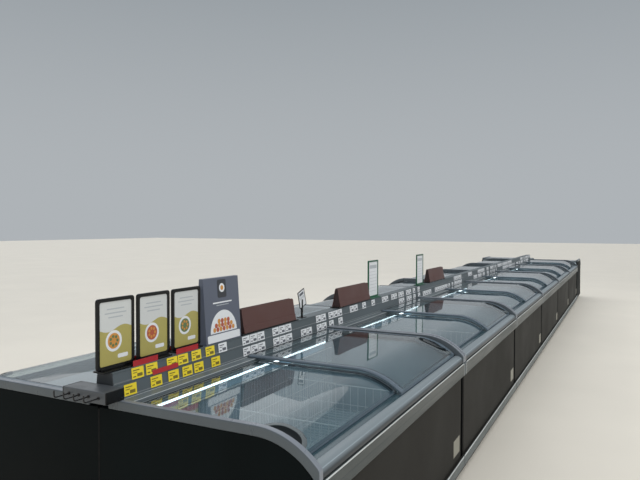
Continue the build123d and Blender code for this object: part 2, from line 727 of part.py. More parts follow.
with BuildPart() as sign_boards:
    share = SIGN_LEDGE_H / SIGN_H
    ledge_half = (SIGN_FOOT_T + share * (SIGN_TOP_T - SIGN_FOOT_T)) / 2
    board_half = ledge_half - SIGN_LEDGE_T
    half_board = [
        (SIGN_FOOT_T / 2, 0),
        (ledge_half, SIGN_LEDGE_H),
        (board_half, SIGN_LEDGE_H),
        (SIGN_TOP_T / 2, SIGN_H),
    ]
    for place in SIGN_PLACES:
        with BuildSketch(row_plane(ROW_START + place + SIGN_W / 2, SPINE_TOP + SIGN_FOOT_H)):
            add(outline(half_board + [(-x, z) for x, z in reversed(half_board)]))
        extrude(amount=SIGN_W)
finish(sign_boards.part, "sign_boards")

# Price flag: a bare card on a post beside the first section sign, tilted back
with BuildPart() as price_flags:
    with BuildSketch(Plane.XY.offset(SPINE_TOP)):
        with Locations((0, ROW_START + FLAG_PLACE)):
            Rectangle(FLAG_POST_W, FLAG_POST_W)
    extrude(amount=FLAG_POST_H)
    flag_plane = Plane(
        origin=(0, ROW_START + FLAG_PLACE, SPINE_TOP + FLAG_POST_H),
        x_dir=(0, cos(radians(FLAG_TILT)), sin(radians(FLAG_TILT))),
        z_dir=(1, 0, 0),
    )
    with BuildSketch(flag_plane):
        Rectangle(FLAG_W, FLAG_H)
    extrude(amount=FLAG_T / 2, both=True)
finish(price_flags.part, "price_flags")
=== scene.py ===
"""Looks of the supermarket freezer island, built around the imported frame.

Sizes are in metres. A cabinet is drawn in its own frame: v runs from the line between the rows
out to the cabinet's front, w along the cabinet, z up. The thirteen cabinets repeat it.
"""

import math
import random

import bmesh
import bpy
from mathutils import Matrix, Vector


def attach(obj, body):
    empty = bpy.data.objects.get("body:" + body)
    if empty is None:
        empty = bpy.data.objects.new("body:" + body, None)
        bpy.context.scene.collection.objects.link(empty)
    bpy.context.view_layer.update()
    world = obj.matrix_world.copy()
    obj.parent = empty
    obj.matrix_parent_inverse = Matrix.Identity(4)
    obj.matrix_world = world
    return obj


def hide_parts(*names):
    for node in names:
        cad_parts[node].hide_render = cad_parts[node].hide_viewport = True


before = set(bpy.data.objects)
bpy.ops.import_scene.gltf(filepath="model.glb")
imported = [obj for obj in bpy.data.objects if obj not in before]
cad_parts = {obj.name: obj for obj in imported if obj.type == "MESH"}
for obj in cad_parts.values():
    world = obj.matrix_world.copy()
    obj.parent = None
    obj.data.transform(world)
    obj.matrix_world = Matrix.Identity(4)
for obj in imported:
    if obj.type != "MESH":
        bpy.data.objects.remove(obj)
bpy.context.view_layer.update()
rng = random.Random(7)

# Arrangement
PITCH, PER_ROW = 2.1, 6
ROW_START, ROW_END = -6.75, 5.85

# Depths of a cabinet
BACK_LINE = 0.005
TANK_BACK, TANK_FRONT = 0.105, 0.930
CARCASS_FRONT, PANEL_FRONT, RAIL_FRONT = 1.012, 1.030, 1.050

# Heights
KICK_BOTTOM, SKIRT_BOTTOM, KICK_TOP = 0.056, 0.060, 0.1212
TANK_FLOOR, BUMPER_BOTTOM, FRONT_TOP, TRACK_TOP = 0.322, 0.653, 0.737, 0.779
BACK_WALL_TOP, LOWER_TRACK, UPPER_TRACK = 0.842, 0.8497, 0.8777
TRIM_TOP, SPINE_TOP = 0.902, 1.000

# Half lengths along a cabinet
HALF_TANK, HALF_GRID, HALF_LIGHT, HALF_INSIDE = 0.977, 0.955, 0.877, 1.015
HALF_PANEL, HALF_BUMPER, HALF_KICK = 1.012, 1.009, 1.043

# Cabinet ends
SIDE_WALL_T, TRIM_W, TRIM_BACK = 0.028, 0.031, 0.055
TRIM_CENTRE = (0.780, 0.547)
TRIM_R, TRIM_BAND, TRIM_NOSE_V, TRIM_NOSE_R = 0.355, 0.042, 1.046, 0.028

# Front rim: its rounded nose over the bumper
NOSE_CENTRE, NOSE_R = (1.0040, TRACK_TOP + 0.0034 - 0.037), 0.037

# Tank fittings
GRID_LOW, GRID_TOP = 0.36, 0.766
DIVIDER_W, DIVIDER_LOW, DIVIDER_TOP = 0.340, 0.350, 0.687
LIGHT_LOW, LIGHT_TOP = 0.803, 0.825

# Lids
LID_ZONE, LID_OVERLAP_HALF = 1.009, 0.020
LID_BEND_V, LID_BEND_Z, LID_T = 0.725, 0.492, 0.014
BOW_W, RUNNER_W, BACK_RUNNER_W = 0.035, 0.014, 0.012
GRIP_LENGTH = 0.160

# Price carrier and labels
SPINE_FOOT_HALF, SPINE_TOP_HALF = 0.052, 0.039
SPINE_FIRST, SPINE_JOINT = 0.044, 0.001
TAG_SIZE, TAG_STEP = (0.074, 0.049), 0.079
UPPER_TAGS, LOWER_TAGS = 0.9712, 0.9095

# Displays, from the row's start
POSTER_YS = (0.102, 0.337, 0.572)
STAND_Y, FLAG_Y = 0.848, 1.790
SIGN_YS = (1.345, 2.640, 5.010)
LIST_YS = (3.090, 4.435)
DISPLAY_BASE = SPINE_TOP + 0.008
INK_T = 0.0005

# Angles in degrees: edges that are rounded, and edges that stay sharp when shaded
ROUNDED_EDGE, SHARP_EDGE, SHARP_GLASS = 32, 38, 30

SIDES = (-1, 1)

middles = [ROW_START + PITCH * (k + 0.5) for k in range(PER_ROW)]
half_turn = Matrix.Rotation(math.pi, 4, "Z")
RIGHT = [Matrix.Translation((0, y, 0)) for y in middles]
HEAD = Matrix.Translation((0, ROW_END, 0)) @ Matrix.Rotation(math.pi / 2, 4, "Z")
CABINETS = [*RIGHT, *(place @ half_turn for place in RIGHT), HEAD]
CABINET_NAMES = [f"{row}_{k + 1}" for row in ("right", "left") for k in range(PER_ROW)] + ["head"]


# Materials


def linear(red, green, blue):
    """A colour written as it looks on screen, 0 to 255, as scene-linear values."""
    parts = (c / 255 for c in (red, green, blue))
    return tuple(c / 12.92 if c <= 0.04045 else ((c + 0.055) / 1.055) ** 2.4 for c in parts)


def shade(colour, factor):
    """A colour made lighter or darker."""
    return tuple(min(1, c * factor) for c in colour)


class Nodes:
    """Short calls for building the node tree of a material or world."""

    def __init__(self, name, kind="materials"):
        self.owner = getattr(bpy.data, kind).new(name)
        self.owner.use_nodes = True
        self.tree = self.owner.node_tree
        self.shader = self.tree.nodes.get("Principled BSDF")

    def add(self, kind, **values):
        node = self.tree.nodes.new(kind)
        for key, value in values.items():
            setattr(node, key, value)
        return node

    def link(self, source, target):
        self.tree.links.new(source, target)

    def coordinates(self, scale=(1, 1, 1)):
        """The piece's own coordinates, stretched."""
        place = self.add("ShaderNodeMapping")
        place.inputs["Scale"].default_value = scale
        self.link(self.add("ShaderNodeTexCoord").outputs["Object"], place.inputs["Vector"])
        return place.outputs["Vector"]

    def noise(self, scale, detail, stretch=(1, 1, 1)):
        node = self.add("ShaderNodeTexNoise")
        for name, value in (("Scale", scale), ("Detail", detail), ("Roughness", 0.55)):
            node.inputs[name].default_value = value
        self.link(self.coordinates(stretch), node.inputs["Vector"])
        return node.outputs["Fac"]

    def ramp(self, value, low, high, first, last):
        """The value's range low to high, turned into first to last."""
        node = self.add("ShaderNodeMapRange")
        self.link(value, node.inputs["Value"])
        for name, number in zip(("From Min", "From Max", "To Min", "To Max"), (low, high, first, last)):
            node.inputs[name].default_value = number
        return node.outputs["Result"]

    def turn(self, value, low, high, first, last, most=1):
        """A colour that turns from first, perhaps a socket, to last where a value rises."""
        node = self.add("ShaderNodeMix", data_type="RGBA")
        self.link(self.ramp(value, low, high, 0, most), node.inputs[0])
        for index, colour in ((6, first), (7, last)):
            if isinstance(colour, tuple):
                node.inputs[index].default_value = (*colour, 1)
            else:
                self.link(colour, node.inputs[index])
        return node.outputs[2]

    def bump(self, height, distance, strength=1.0, below=None):
        node = self.add("ShaderNodeBump")
        node.inputs["Distance"].default_value = distance
        node.inputs["Strength"].default_value = strength
        self.link(height, node.inputs["Height"])
        if below is not None:
            self.link(below, node.inputs["Normal"])
        return node.outputs["Normal"]

    def choose(self, factor, first, last, output):
        """Shows one shader or the other at the output node."""
        node = self.add("ShaderNodeMixShader")
        for index, source in enumerate((factor, first, last)):
            self.link(source, node.inputs[index])
        self.link(node.outputs["Shader"], self.tree.nodes[output].inputs["Surface"])

    def set(self, **values):
        for name, value in values.items():
            socket = self.shader.inputs[name.replace("_", " ")]
            if isinstance(value, bpy.types.NodeSocket):
                self.link(value, socket)
            else:
                socket.default_value = value
        return self.owner


def coated(name, rgb, rough, smudge=0.10, spec=0.4):
    """Painted or powder-coated sheet: an orange-peel grain with faint smudges."""
    n, colour = Nodes(name), linear(*rgb)
    cloud, streak = n.noise(1.7, 4), n.noise(5, 3, (1, 1, 0.12))
    tone = n.turn(cloud, 0.35, 0.65, shade(colour, 1 - smudge), shade(colour, 1 + smudge))
    return n.set(
        Base_Color=n.turn(streak, 0.55, 0.8, tone, shade(colour, 1 + 2.2 * smudge), 0.35),
        Roughness=n.ramp(cloud, 0.3, 0.7, rough - 0.06, rough + 0.08),
        Specular_IOR_Level=spec,
        Normal=n.bump(n.noise(900, 2), 0.00006),
    )


def moulded(name, rgb, rough, wear=0.16, along=(1, 1, 1), spec=0.5):
    """Moulded or extruded plastic: fine grain, worn streaks along its length."""
    n, colour = Nodes(name), linear(*rgb)
    rub, cloud = n.noise(14, 4, along), n.noise(2.3, 3)
    tone = n.turn(cloud, 0.35, 0.65, shade(colour, 1 - wear / 2), shade(colour, 1 + wear / 2))
    fine = n.bump(n.noise(1400, 2), 0.00005)
    return n.set(
        Base_Color=n.turn(rub, 0.58, 0.78, tone, shade(colour, 1 + wear * 1.8), 0.5),
        Roughness=n.ramp(rub, 0.35, 0.7, rough - 0.07, rough + 0.10),
        Specular_IOR_Level=spec,
        Normal=n.bump(n.noise(60, 3, along), 0.00008, 0.5, fine),
    )


def rubbed_and_painted_top_light(name, painted_shade_rgb, painted_light_rgb, low, high, rough):
    """Moulded rail with worn streaks, painted darker low and paler high as light falls from above: the colour
    turns between two heights.
    """
    n = Nodes(name)
    part = n.add("ShaderNodeSeparateXYZ")
    n.link(n.coordinates(), part.inputs[0])
    rub = n.noise(14, 4, RUN)
    # Painted shade and light: the shade colour low on the nose turns to the lit colour on its top.
    tone = n.turn(part.outputs["Z"], low, high, linear(*painted_shade_rgb), linear(*painted_light_rgb))
    fine = n.bump(n.noise(1400, 2), 0.00005)
    return n.set(
        Base_Color=n.turn(rub, 0.56, 0.80, tone, linear(150, 154, 156), 0.22),
        Roughness=n.ramp(rub, 0.35, 0.7, rough - 0.06, rough + 0.10),
        Specular_IOR_Level=0.4,
        Normal=n.bump(n.noise(60, 3, RUN), 0.00012, 0.5, fine),
    )


def enamel(name, rgb):
    """Pale lining sheet with fine flecks and frost-dull patches."""
    n, colour = Nodes(name), linear(*rgb)
    frost = n.noise(6, 5)
    return n.set(
        Base_Color=n.turn(frost, 0.4, 0.7, colour, shade(colour, 1.12)),
        Roughness=n.ramp(frost, 0.35, 0.7, 0.32, 0.57),
        Normal=n.bump(n.noise(420, 2), 0.00008),
    )


def glass(name, tint):
    """Bent lid glass, clear to lamps, with a faint ripple in its reflections."""
    n = Nodes(name)
    n.set(
        Base_Color=(*tint, 1),
        Roughness=n.ramp(n.noise(9, 4, (1, 0.35, 1)), 0.5, 0.8, 0.0, 0.06),
        IOR=1.42,
        Transmission_Weight=1.0,
        Normal=n.bump(n.noise(2.4, 1), 0.0005, 0.6),
    )
    clear = n.add("ShaderNodeBsdfTransparent")
    clear.inputs["Color"].default_value = (*shade(tint, 0.95), 1)
    shadow = n.add("ShaderNodeLightPath").outputs["Is Shadow Ray"]
    n.choose(shadow, n.shader.outputs["BSDF"], clear.outputs["BSDF"], "Material Output")
    return n.owner


def diffuser(name, rgb, strength, pitch):
    """Milky light diffuser, a little brighter over each lamp dot."""
    n = Nodes(name)
    dots = n.add("ShaderNodeTexWave", wave_type="BANDS", bands_direction="Y", wave_profile="SIN")
    dots.inputs["Scale"].default_value = 0.5 / pitch / math.pi
    n.link(n.coordinates(), dots.inputs["Vector"])
    return n.set(
        Base_Color=(*linear(236, 242, 246), 1),
        Roughness=0.35,
        Emission_Color=(*linear(*rgb), 1),
        Emission_Strength=n.ramp(dots.outputs["Fac"], 0, 1, strength * 0.86, strength),
        Normal=n.bump(n.noise(500, 2), 0.00005),
    )


def card(name, rgb, rough, fibre, coat=0.25):
    """Printed card or paper: fine fibre and a slight sheen."""
    n, colour = Nodes(name), linear(*rgb)
    weave, fade = n.noise(700, 3, (1, 1, 0.3)), n.noise(5, 2)
    tone = n.turn(weave, 0.35, 0.65, shade(colour, 1 - fibre), shade(colour, 1 + fibre))
    return n.set(
        Base_Color=n.turn(fade, 0.45, 0.75, tone, shade(colour, 1 + 2 * fibre), 0.4),
        Roughness=n.ramp(fade, 0.3, 0.7, rough - 0.05, rough + 0.08),
        Coat_Weight=coat,
        Coat_Roughness=0.3,
        Normal=n.bump(weave, 0.00003),
    )


def rubber(name, rgb):
    """Seal rubber, dusty on its high spots."""
    n, colour = Nodes(name), linear(*rgb)
    dust = n.noise(40, 4)
    return n.set(
        Base_Color=n.turn(dust, 0.5, 0.75, colour, shade(colour, 1.5)),
        Roughness=n.ramp(dust, 0.4, 0.7, 0.52, 0.7),
        Specular_IOR_Level=0.15,
        Normal=n.bump(n.noise(1600, 2), 0.00006),
    )


def metal_wire(name, rgb, rough, metal=1.0):
    """Bare or coated metal with drawn lines and small wear marks."""
    n, colour = Nodes(name), linear(*rgb)
    mark = n.noise(90, 4)
    return n.set(
        Base_Color=n.turn(mark, 0.55, 0.75, colour, shade(colour, 0.75)),
        Roughness=n.ramp(mark, 0.35, 0.7, rough - 0.08, rough + 0.15),
        Metallic=metal,
        Normal=n.bump(n.noise(800, 2, (1, 1, 0.1)), 0.00003),
    )


# Streaks that run along the cabinet, and over an end trim
RUN, OVER = (1, 0.06, 1), (1, 0.2, 0.3)

FINISHES = {
    "plinth": moulded("plinth_black", (24, 25, 27), 0.62),
    "housing": coated("housing_grey", (62, 64, 66), 0.55),
    "liner": enamel("liner_white", (166, 180, 188)),
    "side": coated("side_wall_paint", (11, 17, 18), 0.58, smudge=0.18, spec=0.06),
    "trim": moulded("end_trim_grey", (76, 84, 89), 0.34, along=OVER, spec=0.6),
    # Paler copy of the trim's finish: painted light on its upper and outer faces.
    "trim_top": moulded("end_trim_painted_top_light", (116, 122, 130), 0.32, along=OVER, spec=0.6),
    # Panel paint, also painted on the kick rail's top as shade.
    "panel": coated("front_panel_paint_and_painted_shade", (40, 39, 36), 0.60, spec=0.12),
    "rail": moulded("rail_grey", (62, 68, 68), 0.40, along=RUN, spec=0.4),
    "kick": moulded("kick_rail_grey", (91, 98, 99), 0.42, along=RUN, spec=0.4),
    # Pale strip painted as the highlight along the top edge of the bumper and the kick rail.
    "lip": moulded("rail_lip_painted_highlight", (190, 195, 193), 0.3, along=RUN),
    "cap": moulded("rail_cap_grey", (92, 99, 101), 0.32),
    # Front rim: painted shade on the nose's front, painted light on its top.
    "rim": rubbed_and_painted_top_light("front_rim_painted_top_light", (46, 52, 57), (122, 132, 137), 0.757, 0.772, 0.38),
    # Pale finish painted as a highlight line on the nose's ridge.
    "ridge": moulded("rim_ridge_painted_highlight", (146, 158, 165), 0.3, along=RUN),
    "track": moulded("lid_track_teal", (50, 72, 80), 0.14, along=RUN, wear=0.1),
    "ledge": moulded("ledge_grey", (100, 109, 113), 0.40, along=RUN, spec=0.4),
    # Pale finish painted as highlight lines on the ledge edges.
    "bead": moulded("ledge_bead_painted_highlight", (192, 198, 198), 0.3, along=RUN),
    "bow": moulded("lid_bow_grey", (88, 101, 112), 0.34, wear=0.08, spec=0.45),
    "border": moulded("glass_border", (66, 76, 84), 0.35, wear=0.1, spec=0.3),
    "recess": moulded("grip_recess", (24, 29, 31), 0.5, wear=0.1, spec=0.1),
    "gasket": rubber("lid_gasket", (18, 19, 20)),
    "glass": glass("lid_glass", (0.83, 0.905, 0.92)),
    # Black rubber for real joints, also painted as shade in gaps and as shadow under rails.
    "seal_and_painted_shade": rubber("joint_rubber_and_painted_shade", (8, 9, 10)),
    "wire": metal_wire("white_wire", (228, 233, 236), 0.34, 0.0),
    "channel": metal_wire("light_channel", (190, 196, 202), 0.35),
    "light": diffuser("light_diffuser", (232, 249, 255), 3.0, 0.012),
    # Pale blue painted as the light strip's glow on the back wall.
    "painted_glow_plate": enamel("light_plate_painted_glow", (176, 208, 228)),
    "spine": coated("carrier_slate", (87, 96, 100), 0.46, smudge=0.08),
    "spine_lip": moulded("carrier_lip", (122, 127, 130), 0.32, along=RUN),
    "black": moulded("frame_black", (13, 14, 15), 0.32, wear=0.3, spec=0.35),
    "hook_grey": moulded("hook_box_grey", (74, 78, 82), 0.38),
    "end_grey": moulded("carrier_end_grey", (52, 56, 59), 0.4, spec=0.4),
    "hook_wire": metal_wire("hook_wire_black", (26, 26, 28), 0.3, 0.0),
    "green": coated("list_frame_green", (22, 84, 58), 0.34, smudge=0.12),
    "brown": card("sign_brown", (88, 57, 52), 0.5, 0.07, 0.05),
    "brown_dark": card("sign_brown_dark", (52, 32, 30), 0.5, 0.06),
    "slate": card("stand_slate", (88, 95, 110), 0.45, 0.05),
    "pale": card("poster_pale", (208, 211, 209), 0.35, 0.03),
    "mustard": card("poster_mustard", (172, 162, 90), 0.35, 0.05),
    "ochre": card("print_ochre", (206, 142, 62), 0.4, 0.06),
    "rust": card("print_rust", (176, 84, 56), 0.4, 0.06),
    "leaf": card("print_leaf", (96, 118, 74), 0.4, 0.06),
    "ink": card("print_ink", (44, 48, 56), 0.4, 0.06),
    "line": card("print_line", (176, 182, 186), 0.4, 0.03),
    "white": card("card_white", (228, 231, 233), 0.4, 0.03),
    "yellow": card("tag_yellow", (240, 216, 44), 0.4, 0.04),
    "tag_ink": card("tag_ink", (92, 96, 104), 0.5, 0.05),
    "yellow_ink": card("tag_yellow_ink", (122, 108, 34), 0.5, 0.05),
    "red": card("strip_red", (176, 34, 40), 0.4, 0.06),
    "plate": card("label_plate", (132, 130, 117), 0.5, 0.06),
}


# Mesh building


def arc(centre, radius, first, last, steps):
    """Points (v, z) round a bend; angles in degrees from upright towards the front."""
    turns = [math.radians(first + (last - first) * k / steps) for k in range(steps + 1)]
    return [(centre[0] + radius * math.sin(a), centre[1] + radius * math.cos(a)) for a in turns]


def rounded_box(width, height, radius, steps):
    """Points (x, y) of a rectangle round the origin, its corners rounded."""
    points = []
    for x, y, first in ((1, 1, 0), (1, -1, 90), (-1, -1, 180), (-1, 1, 270)):
        centre = (x * (width / 2 - radius), y * (height / 2 - radius))
        points += arc(centre, radius, first, first + 90, steps)
    return points


def disc(radius, steps=40):
    """Points of a circle."""
    turns = [2 * math.pi * k / steps for k in range(steps)]
    return [(radius * math.cos(a), radius * math.sin(a)) for a in turns]


def spread(half, steps):
    """Evenly spaced values from minus half to half."""
    return [half * (2 * k / steps - 1) for k in range(steps + 1)]


def loft(bm, rings, material=0, closed=False):
    """Joins rings of equally many points into a skin, capped or closed; gives back its faces."""
    rows = [[bm.verts.new(p) for p in ring] for ring in rings]
    faces = []
    for a, b in zip(rows, rows[1:] + rows[:1] if closed else rows[1:]):
        for k in range(len(a)):
            j = (k + 1) % len(a)
            faces.append(bm.faces.new((a[k], a[j], b[j], b[k])))
    if not closed:
        faces += [bm.faces.new(rows[0]), bm.faces.new(rows[-1][::-1])]
    for face in faces:
        face.material_index = material
    return faces


def join(bm, part, place=None):
    """Puts one mesh into another, moved if a place is given, and frees it."""
    mesh = bpy.data.meshes.new("part")
    part.to_mesh(mesh)
    part.free()
    if place is not None:
        mesh.transform(place)
    bm.from_mesh(mesh)
    bpy.data.meshes.remove(mesh)


def bevel(bm, faces, width, segments):
    """Rounds the sharp edges of some faces."""
    least = math.radians(ROUNDED_EDGE)
    edges = {e for f in faces for e in f.edges if len(e.link_faces) == 2 and e.calc_face_angle(0) > least}
    how = {"offset_type": "OFFSET", "affect": "EDGES", "profile": 0.5, "clamp_overlap": True}
    bmesh.ops.bevel(bm, geom=list(edges), offset=width, segments=segments, **how)


def prism(bm, points, start, end, material=0, edge=0.0, segments=2, upright=False):
    """A bar drawn in v and z and run along w, or drawn in v and w and run upright."""
    part = bmesh.new()
    rings = [[(a, b, c) if upright else (a, c, b) for a, b in points] for c in (start, end)]
    faces = loft(part, rings, material)
    bmesh.ops.recalc_face_normals(part, faces=part.faces)
    if edge:
        bevel(part, faces, edge, segments)
        for face in part.faces:
            face.material_index = material
    join(bm, part)


def run(bm, points, half, *finish):
    """A bar run along w, as far to both sides of the middle."""
    prism(bm, points, -half, half, *finish)


def block(bm, one, other, *finish):
    """A box between two opposite corners."""
    (v, w, z), (far_v, far_w, far_z) = (map(pick, one, other) for pick in (min, max))
    prism(bm, [(v, z), (far_v, z), (far_v, far_z), (v, far_z)], w, far_w, *finish)


def sheet(bm, base, points, thick, material, up=(0, 0, 1), out=(1, 0, 0), along=(0, 1, 0)):
    """A thin flat shape round a base point, by default standing along the rows."""
    base, up, out, along = (Vector(p) for p in (base, up, out, along))
    flat = [base + along * a + up * b for a, b in points]
    part = bmesh.new()
    loft(part, [[p + out * t for p in flat] for t in (-thick / 2, thick / 2)], material)
    join(bm, part)


def tube(bm, points, radius, sides=5):
    """A round bar along points, mitred at its bends."""
    path = [Vector(p) for p in points]
    rings, across = [], None
    for k, here in enumerate(path):
        run_in = (here - path[k - 1] if k else path[1] - here).normalized()
        run_out = (path[k + 1] - here).normalized() if k < len(path) - 1 else run_in
        along = (run_in + run_out).normalized()
        if across is None:
            across = along.orthogonal().normalized()
        across = (across - along * across.dot(along)).normalized()
        other = along.cross(across)
        stretch = 1 / max(0.35, along.dot(run_in))
        turn_axis = run_in.cross(run_out)
        ring = []
        for a, b in disc(radius, sides):
            offset = across * a + other * b
            if turn_axis.length > 1e-6:
                wide = along.cross(turn_axis.normalized())
                offset += wide * offset.dot(wide) * (stretch - 1)
            ring.append(here + offset)
        rings.append(ring)
    loft(bm, rings)


def smooth_bend(points, radius, steps=5):
    """A path with its inner corners rounded."""
    path = [Vector(p) for p in points]
    out = [path[0]]
    for before, here, after in zip(path, path[1:], path[2:]):
        a, b = (before - here).normalized(), (after - here).normalized()
        half = a.angle(b) / 2
        centre = here + (a + b).normalized() * (radius / math.sin(half))
        start, end = ((here + way * radius / math.tan(half) - centre).normalized() for way in (a, b))
        out += [centre + start.slerp(end, k / steps) * radius for k in range(steps + 1)]
    return out + [path[-1]]


def everywhere(bm):
    """The same mesh at each cabinet, in one."""
    mesh = bpy.data.meshes.new("repeat")
    bm.to_mesh(mesh)
    bm.free()
    whole = bmesh.new()
    for place in CABINETS:
        copy = mesh.copy()
        copy.transform(place)
        whole.from_mesh(copy)
        bpy.data.meshes.remove(copy)
    bpy.data.meshes.remove(mesh)
    return whole


def finish_mesh(name, bm, materials):
    """A mesh with outward normals, smooth but for its sharp edges."""
    bmesh.ops.recalc_face_normals(bm, faces=bm.faces)
    mesh = bpy.data.meshes.new(name)
    bm.to_mesh(mesh)
    bm.free()
    return smooth(mesh, materials, SHARP_EDGE)


def smooth(mesh, materials, sharp):
    """Gives a mesh smooth shading, but for edges over an angle, and its materials."""
    mesh.polygons.foreach_set("use_smooth", [True] * len(mesh.polygons))
    mesh.set_sharp_from_angle(angle=math.radians(sharp))
    for material in materials:
        mesh.materials.append(FINISHES[material])
    return mesh


def place_mesh(name, mesh, body, replaces, place=None):
    """An object for a mesh, riding on a body."""
    piece = bpy.data.objects.new(name, mesh)
    bpy.context.scene.collection.objects.link(piece)
    if place is not None:
        piece.matrix_world = place
    weigh = piece.modifiers.new("normals", "WEIGHTED_NORMAL")
    weigh.keep_sharp = True
    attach(piece, body)
    if replaces:
        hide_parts(*replaces)
    return piece


def build(name, bm, materials, slot, *replaces):
    """Finishes a mesh and shows it as one fixed piece."""
    place_mesh(name, finish_mesh(name, bm, materials), "island", replaces)


def paint_node(node, material):
    """Gives a CAD node that keeps its shape its finish."""
    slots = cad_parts[node].data.materials
    for index in range(len(slots)):
        slots[index] = FINISHES[material]
    if not len(slots):
        slots.append(FINISHES[material])


# Camera, floor and light


def look(position, yaw, pitch, roll, lens):
    """The camera at the photograph's place and angle."""
    data = bpy.data.cameras.new("camera")
    data.lens, data.sensor_width, data.clip_end = lens, 36, 200
    camera = bpy.data.objects.new("camera", data)
    camera.matrix_world = (
        Matrix.Translation(position)
        @ Matrix.Rotation(yaw, 4, "Z")
        @ Matrix.Rotation(math.pi / 2 + pitch, 4, "X")
        @ Matrix.Rotation(roll, 4, "Z")
    )
    bpy.context.scene.collection.objects.link(camera)
    bpy.context.scene.camera = camera


def add_light(name, kind, strength, aim, place=(0, 0, 0), **values):
    """A light that glass doesn't show, aimed one way."""
    data = bpy.data.lights.new(name, kind)
    data.energy = strength
    for key, value in values.items():
        setattr(data, key, value)
    light = bpy.data.objects.new(name, data)
    turn = Vector(aim).to_track_quat("-Z", "Y").to_matrix().to_4x4()
    light.matrix_world = Matrix.Translation(place) @ turn
    light.visible_transmission = False
    bpy.context.scene.collection.objects.link(light)
    return light


def surroundings():
    """A world that fades from pale to slate where it is seen, and lights evenly."""
    n = Nodes("world", "worlds")
    bpy.context.scene.world = n.owner
    shown, lit = n.tree.nodes["Background"], n.add("ShaderNodeBackground")
    shown.inputs["Strength"].default_value = 1.0
    part = n.add("ShaderNodeSeparateXYZ")
    n.link(n.add("ShaderNodeTexCoord").outputs["Generated"], part.inputs[0])
    fade = n.add("ShaderNodeValToRGB")
    fade.color_ramp.interpolation = "EASE"
    for index, height, rgb in ((0, 0.04, (174, 179, 183)), (1, 0.85, (98, 112, 122))):
        fade.color_ramp.elements[index].position = height
        fade.color_ramp.elements[index].color = (*linear(*rgb), 1)
    n.link(part.outputs["Z"], fade.inputs[0])
    n.link(fade.outputs[0], shown.inputs["Color"])
    lit.inputs["Color"].default_value = (0.95, 0.97, 1.0, 1)
    lit.inputs["Strength"].default_value = 0.62
    path = n.add("ShaderNodeLightPath")
    seen = path.outputs["Is Camera Ray"]
    for ray in ("Is Glossy Ray", "Is Transmission Ray"):
        either = n.add("ShaderNodeMath", operation="MAXIMUM")
        n.link(seen, either.inputs[0])
        n.link(path.outputs[ray], either.inputs[1])
        seen = either.outputs[0]
    n.choose(seen, lit.outputs[0], shown.outputs[0], "World Output")


def pale_floor():
    """The floor under the island."""
    reach = 60
    n, base = Nodes("floor_pale"), linear(222, 217, 205)
    speck, cloud = n.noise(160, 3), n.noise(0.8, 3)
    tone = n.turn(speck, 0.4, 0.65, shade(base, 0.94), shade(base, 1.04))
    n.set(
        Base_Color=n.turn(cloud, 0.4, 0.7, tone, shade(base, 1.06), 0.5),
        Roughness=0.55,
        Normal=n.bump(speck, 0.0002),
    )
    corners = [(x * reach, y * reach, 0) for x, y in ((-1, -1), (1, -1), (1, 1), (-1, 1))]
    data = bpy.data.meshes.new("floor")
    data.from_pydata(corners, [], [(0, 1, 2, 3)])
    data.materials.append(n.owner)
    floor = bpy.data.objects.new("floor", data)
    bpy.context.scene.collection.objects.link(floor)


def studio():
    """The camera, pale surroundings and soft lamps in two lines overhead."""
    look((1.967, -8.560, 1.619), 0.4701, -0.0213, 0.0022, 33.725)
    surroundings()
    pale_floor()
    panel = {"shape": "RECTANGLE", "size": 0.35, "size_y": 0.7, "color": (1.0, 0.985, 0.965)}
    for k in range(7):
        for row, x, y in (("right", 2.7, -8.2), ("left", -2.2, -7.1)):
            lamp = add_light(f"panel_{row}_{k}", "AREA", 7, (0, 0, -1), (x, y + 2.6 * k, 3.2), **panel)
            lamp.visible_camera = lamp.visible_glossy = False
    soft = math.radians(70)
    add_light("broad_front", "SUN", 1.15, (-0.60, 0.40, -0.70), angle=soft)
    add_light("broad_back", "SUN", 0.55, (0.50, -0.45, -0.74), angle=soft)


# The cabinets' fixed parts


def trim_outline():
    """The end trim's band, from the carrier over the bend to the front."""
    turn = math.degrees(math.asin((TRIM_NOSE_V - TRIM_NOSE_R - TRIM_CENTRE[0]) / (TRIM_R - TRIM_NOSE_R)))
    nose = arc(TRIM_CENTRE, TRIM_R - TRIM_NOSE_R, turn, turn, 1)[0]
    foot = math.degrees(math.acos((FRONT_TOP - TRIM_CENTRE[1]) / (TRIM_R - TRIM_BAND)))
    return [
        (TRIM_BACK, TRIM_TOP),
        *arc(TRIM_CENTRE, TRIM_R, 0, turn, 18),
        *arc(nose, TRIM_NOSE_R, turn, 90, 8)[1:],
        (TRIM_NOSE_V, FRONT_TOP),
        *arc(TRIM_CENTRE, TRIM_R - TRIM_BAND, foot, 0, 20),
        (TRIM_BACK, TRIM_TOP - TRIM_BAND),
    ]


def side_wall_outline():
    """The dark side wall under the trim."""
    radius = TRIM_R - TRIM_BAND - 0.0003
    last = math.degrees(math.asin((CARCASS_FRONT - TRIM_CENTRE[0]) / radius))
    bend = arc(TRIM_CENTRE, radius, 0, last, 16)
    foot = [(CARCASS_FRONT, SKIRT_BOTTOM), (BACK_LINE, SKIRT_BOTTOM)]
    return [(BACK_LINE, TRIM_CENTRE[1] + radius), *bend, *foot]


def rail_outline(bottom, top, radius, front=RAIL_FRONT):
    """A rail with both outer edges rounded."""
    edge = front - radius
    return [
        (PANEL_FRONT, top),
        *arc((edge, top - radius), radius, 0, 90, 6),
        *arc((edge, bottom + radius), radius, 90, 180, 6),
        (PANEL_FRONT, bottom),
    ]


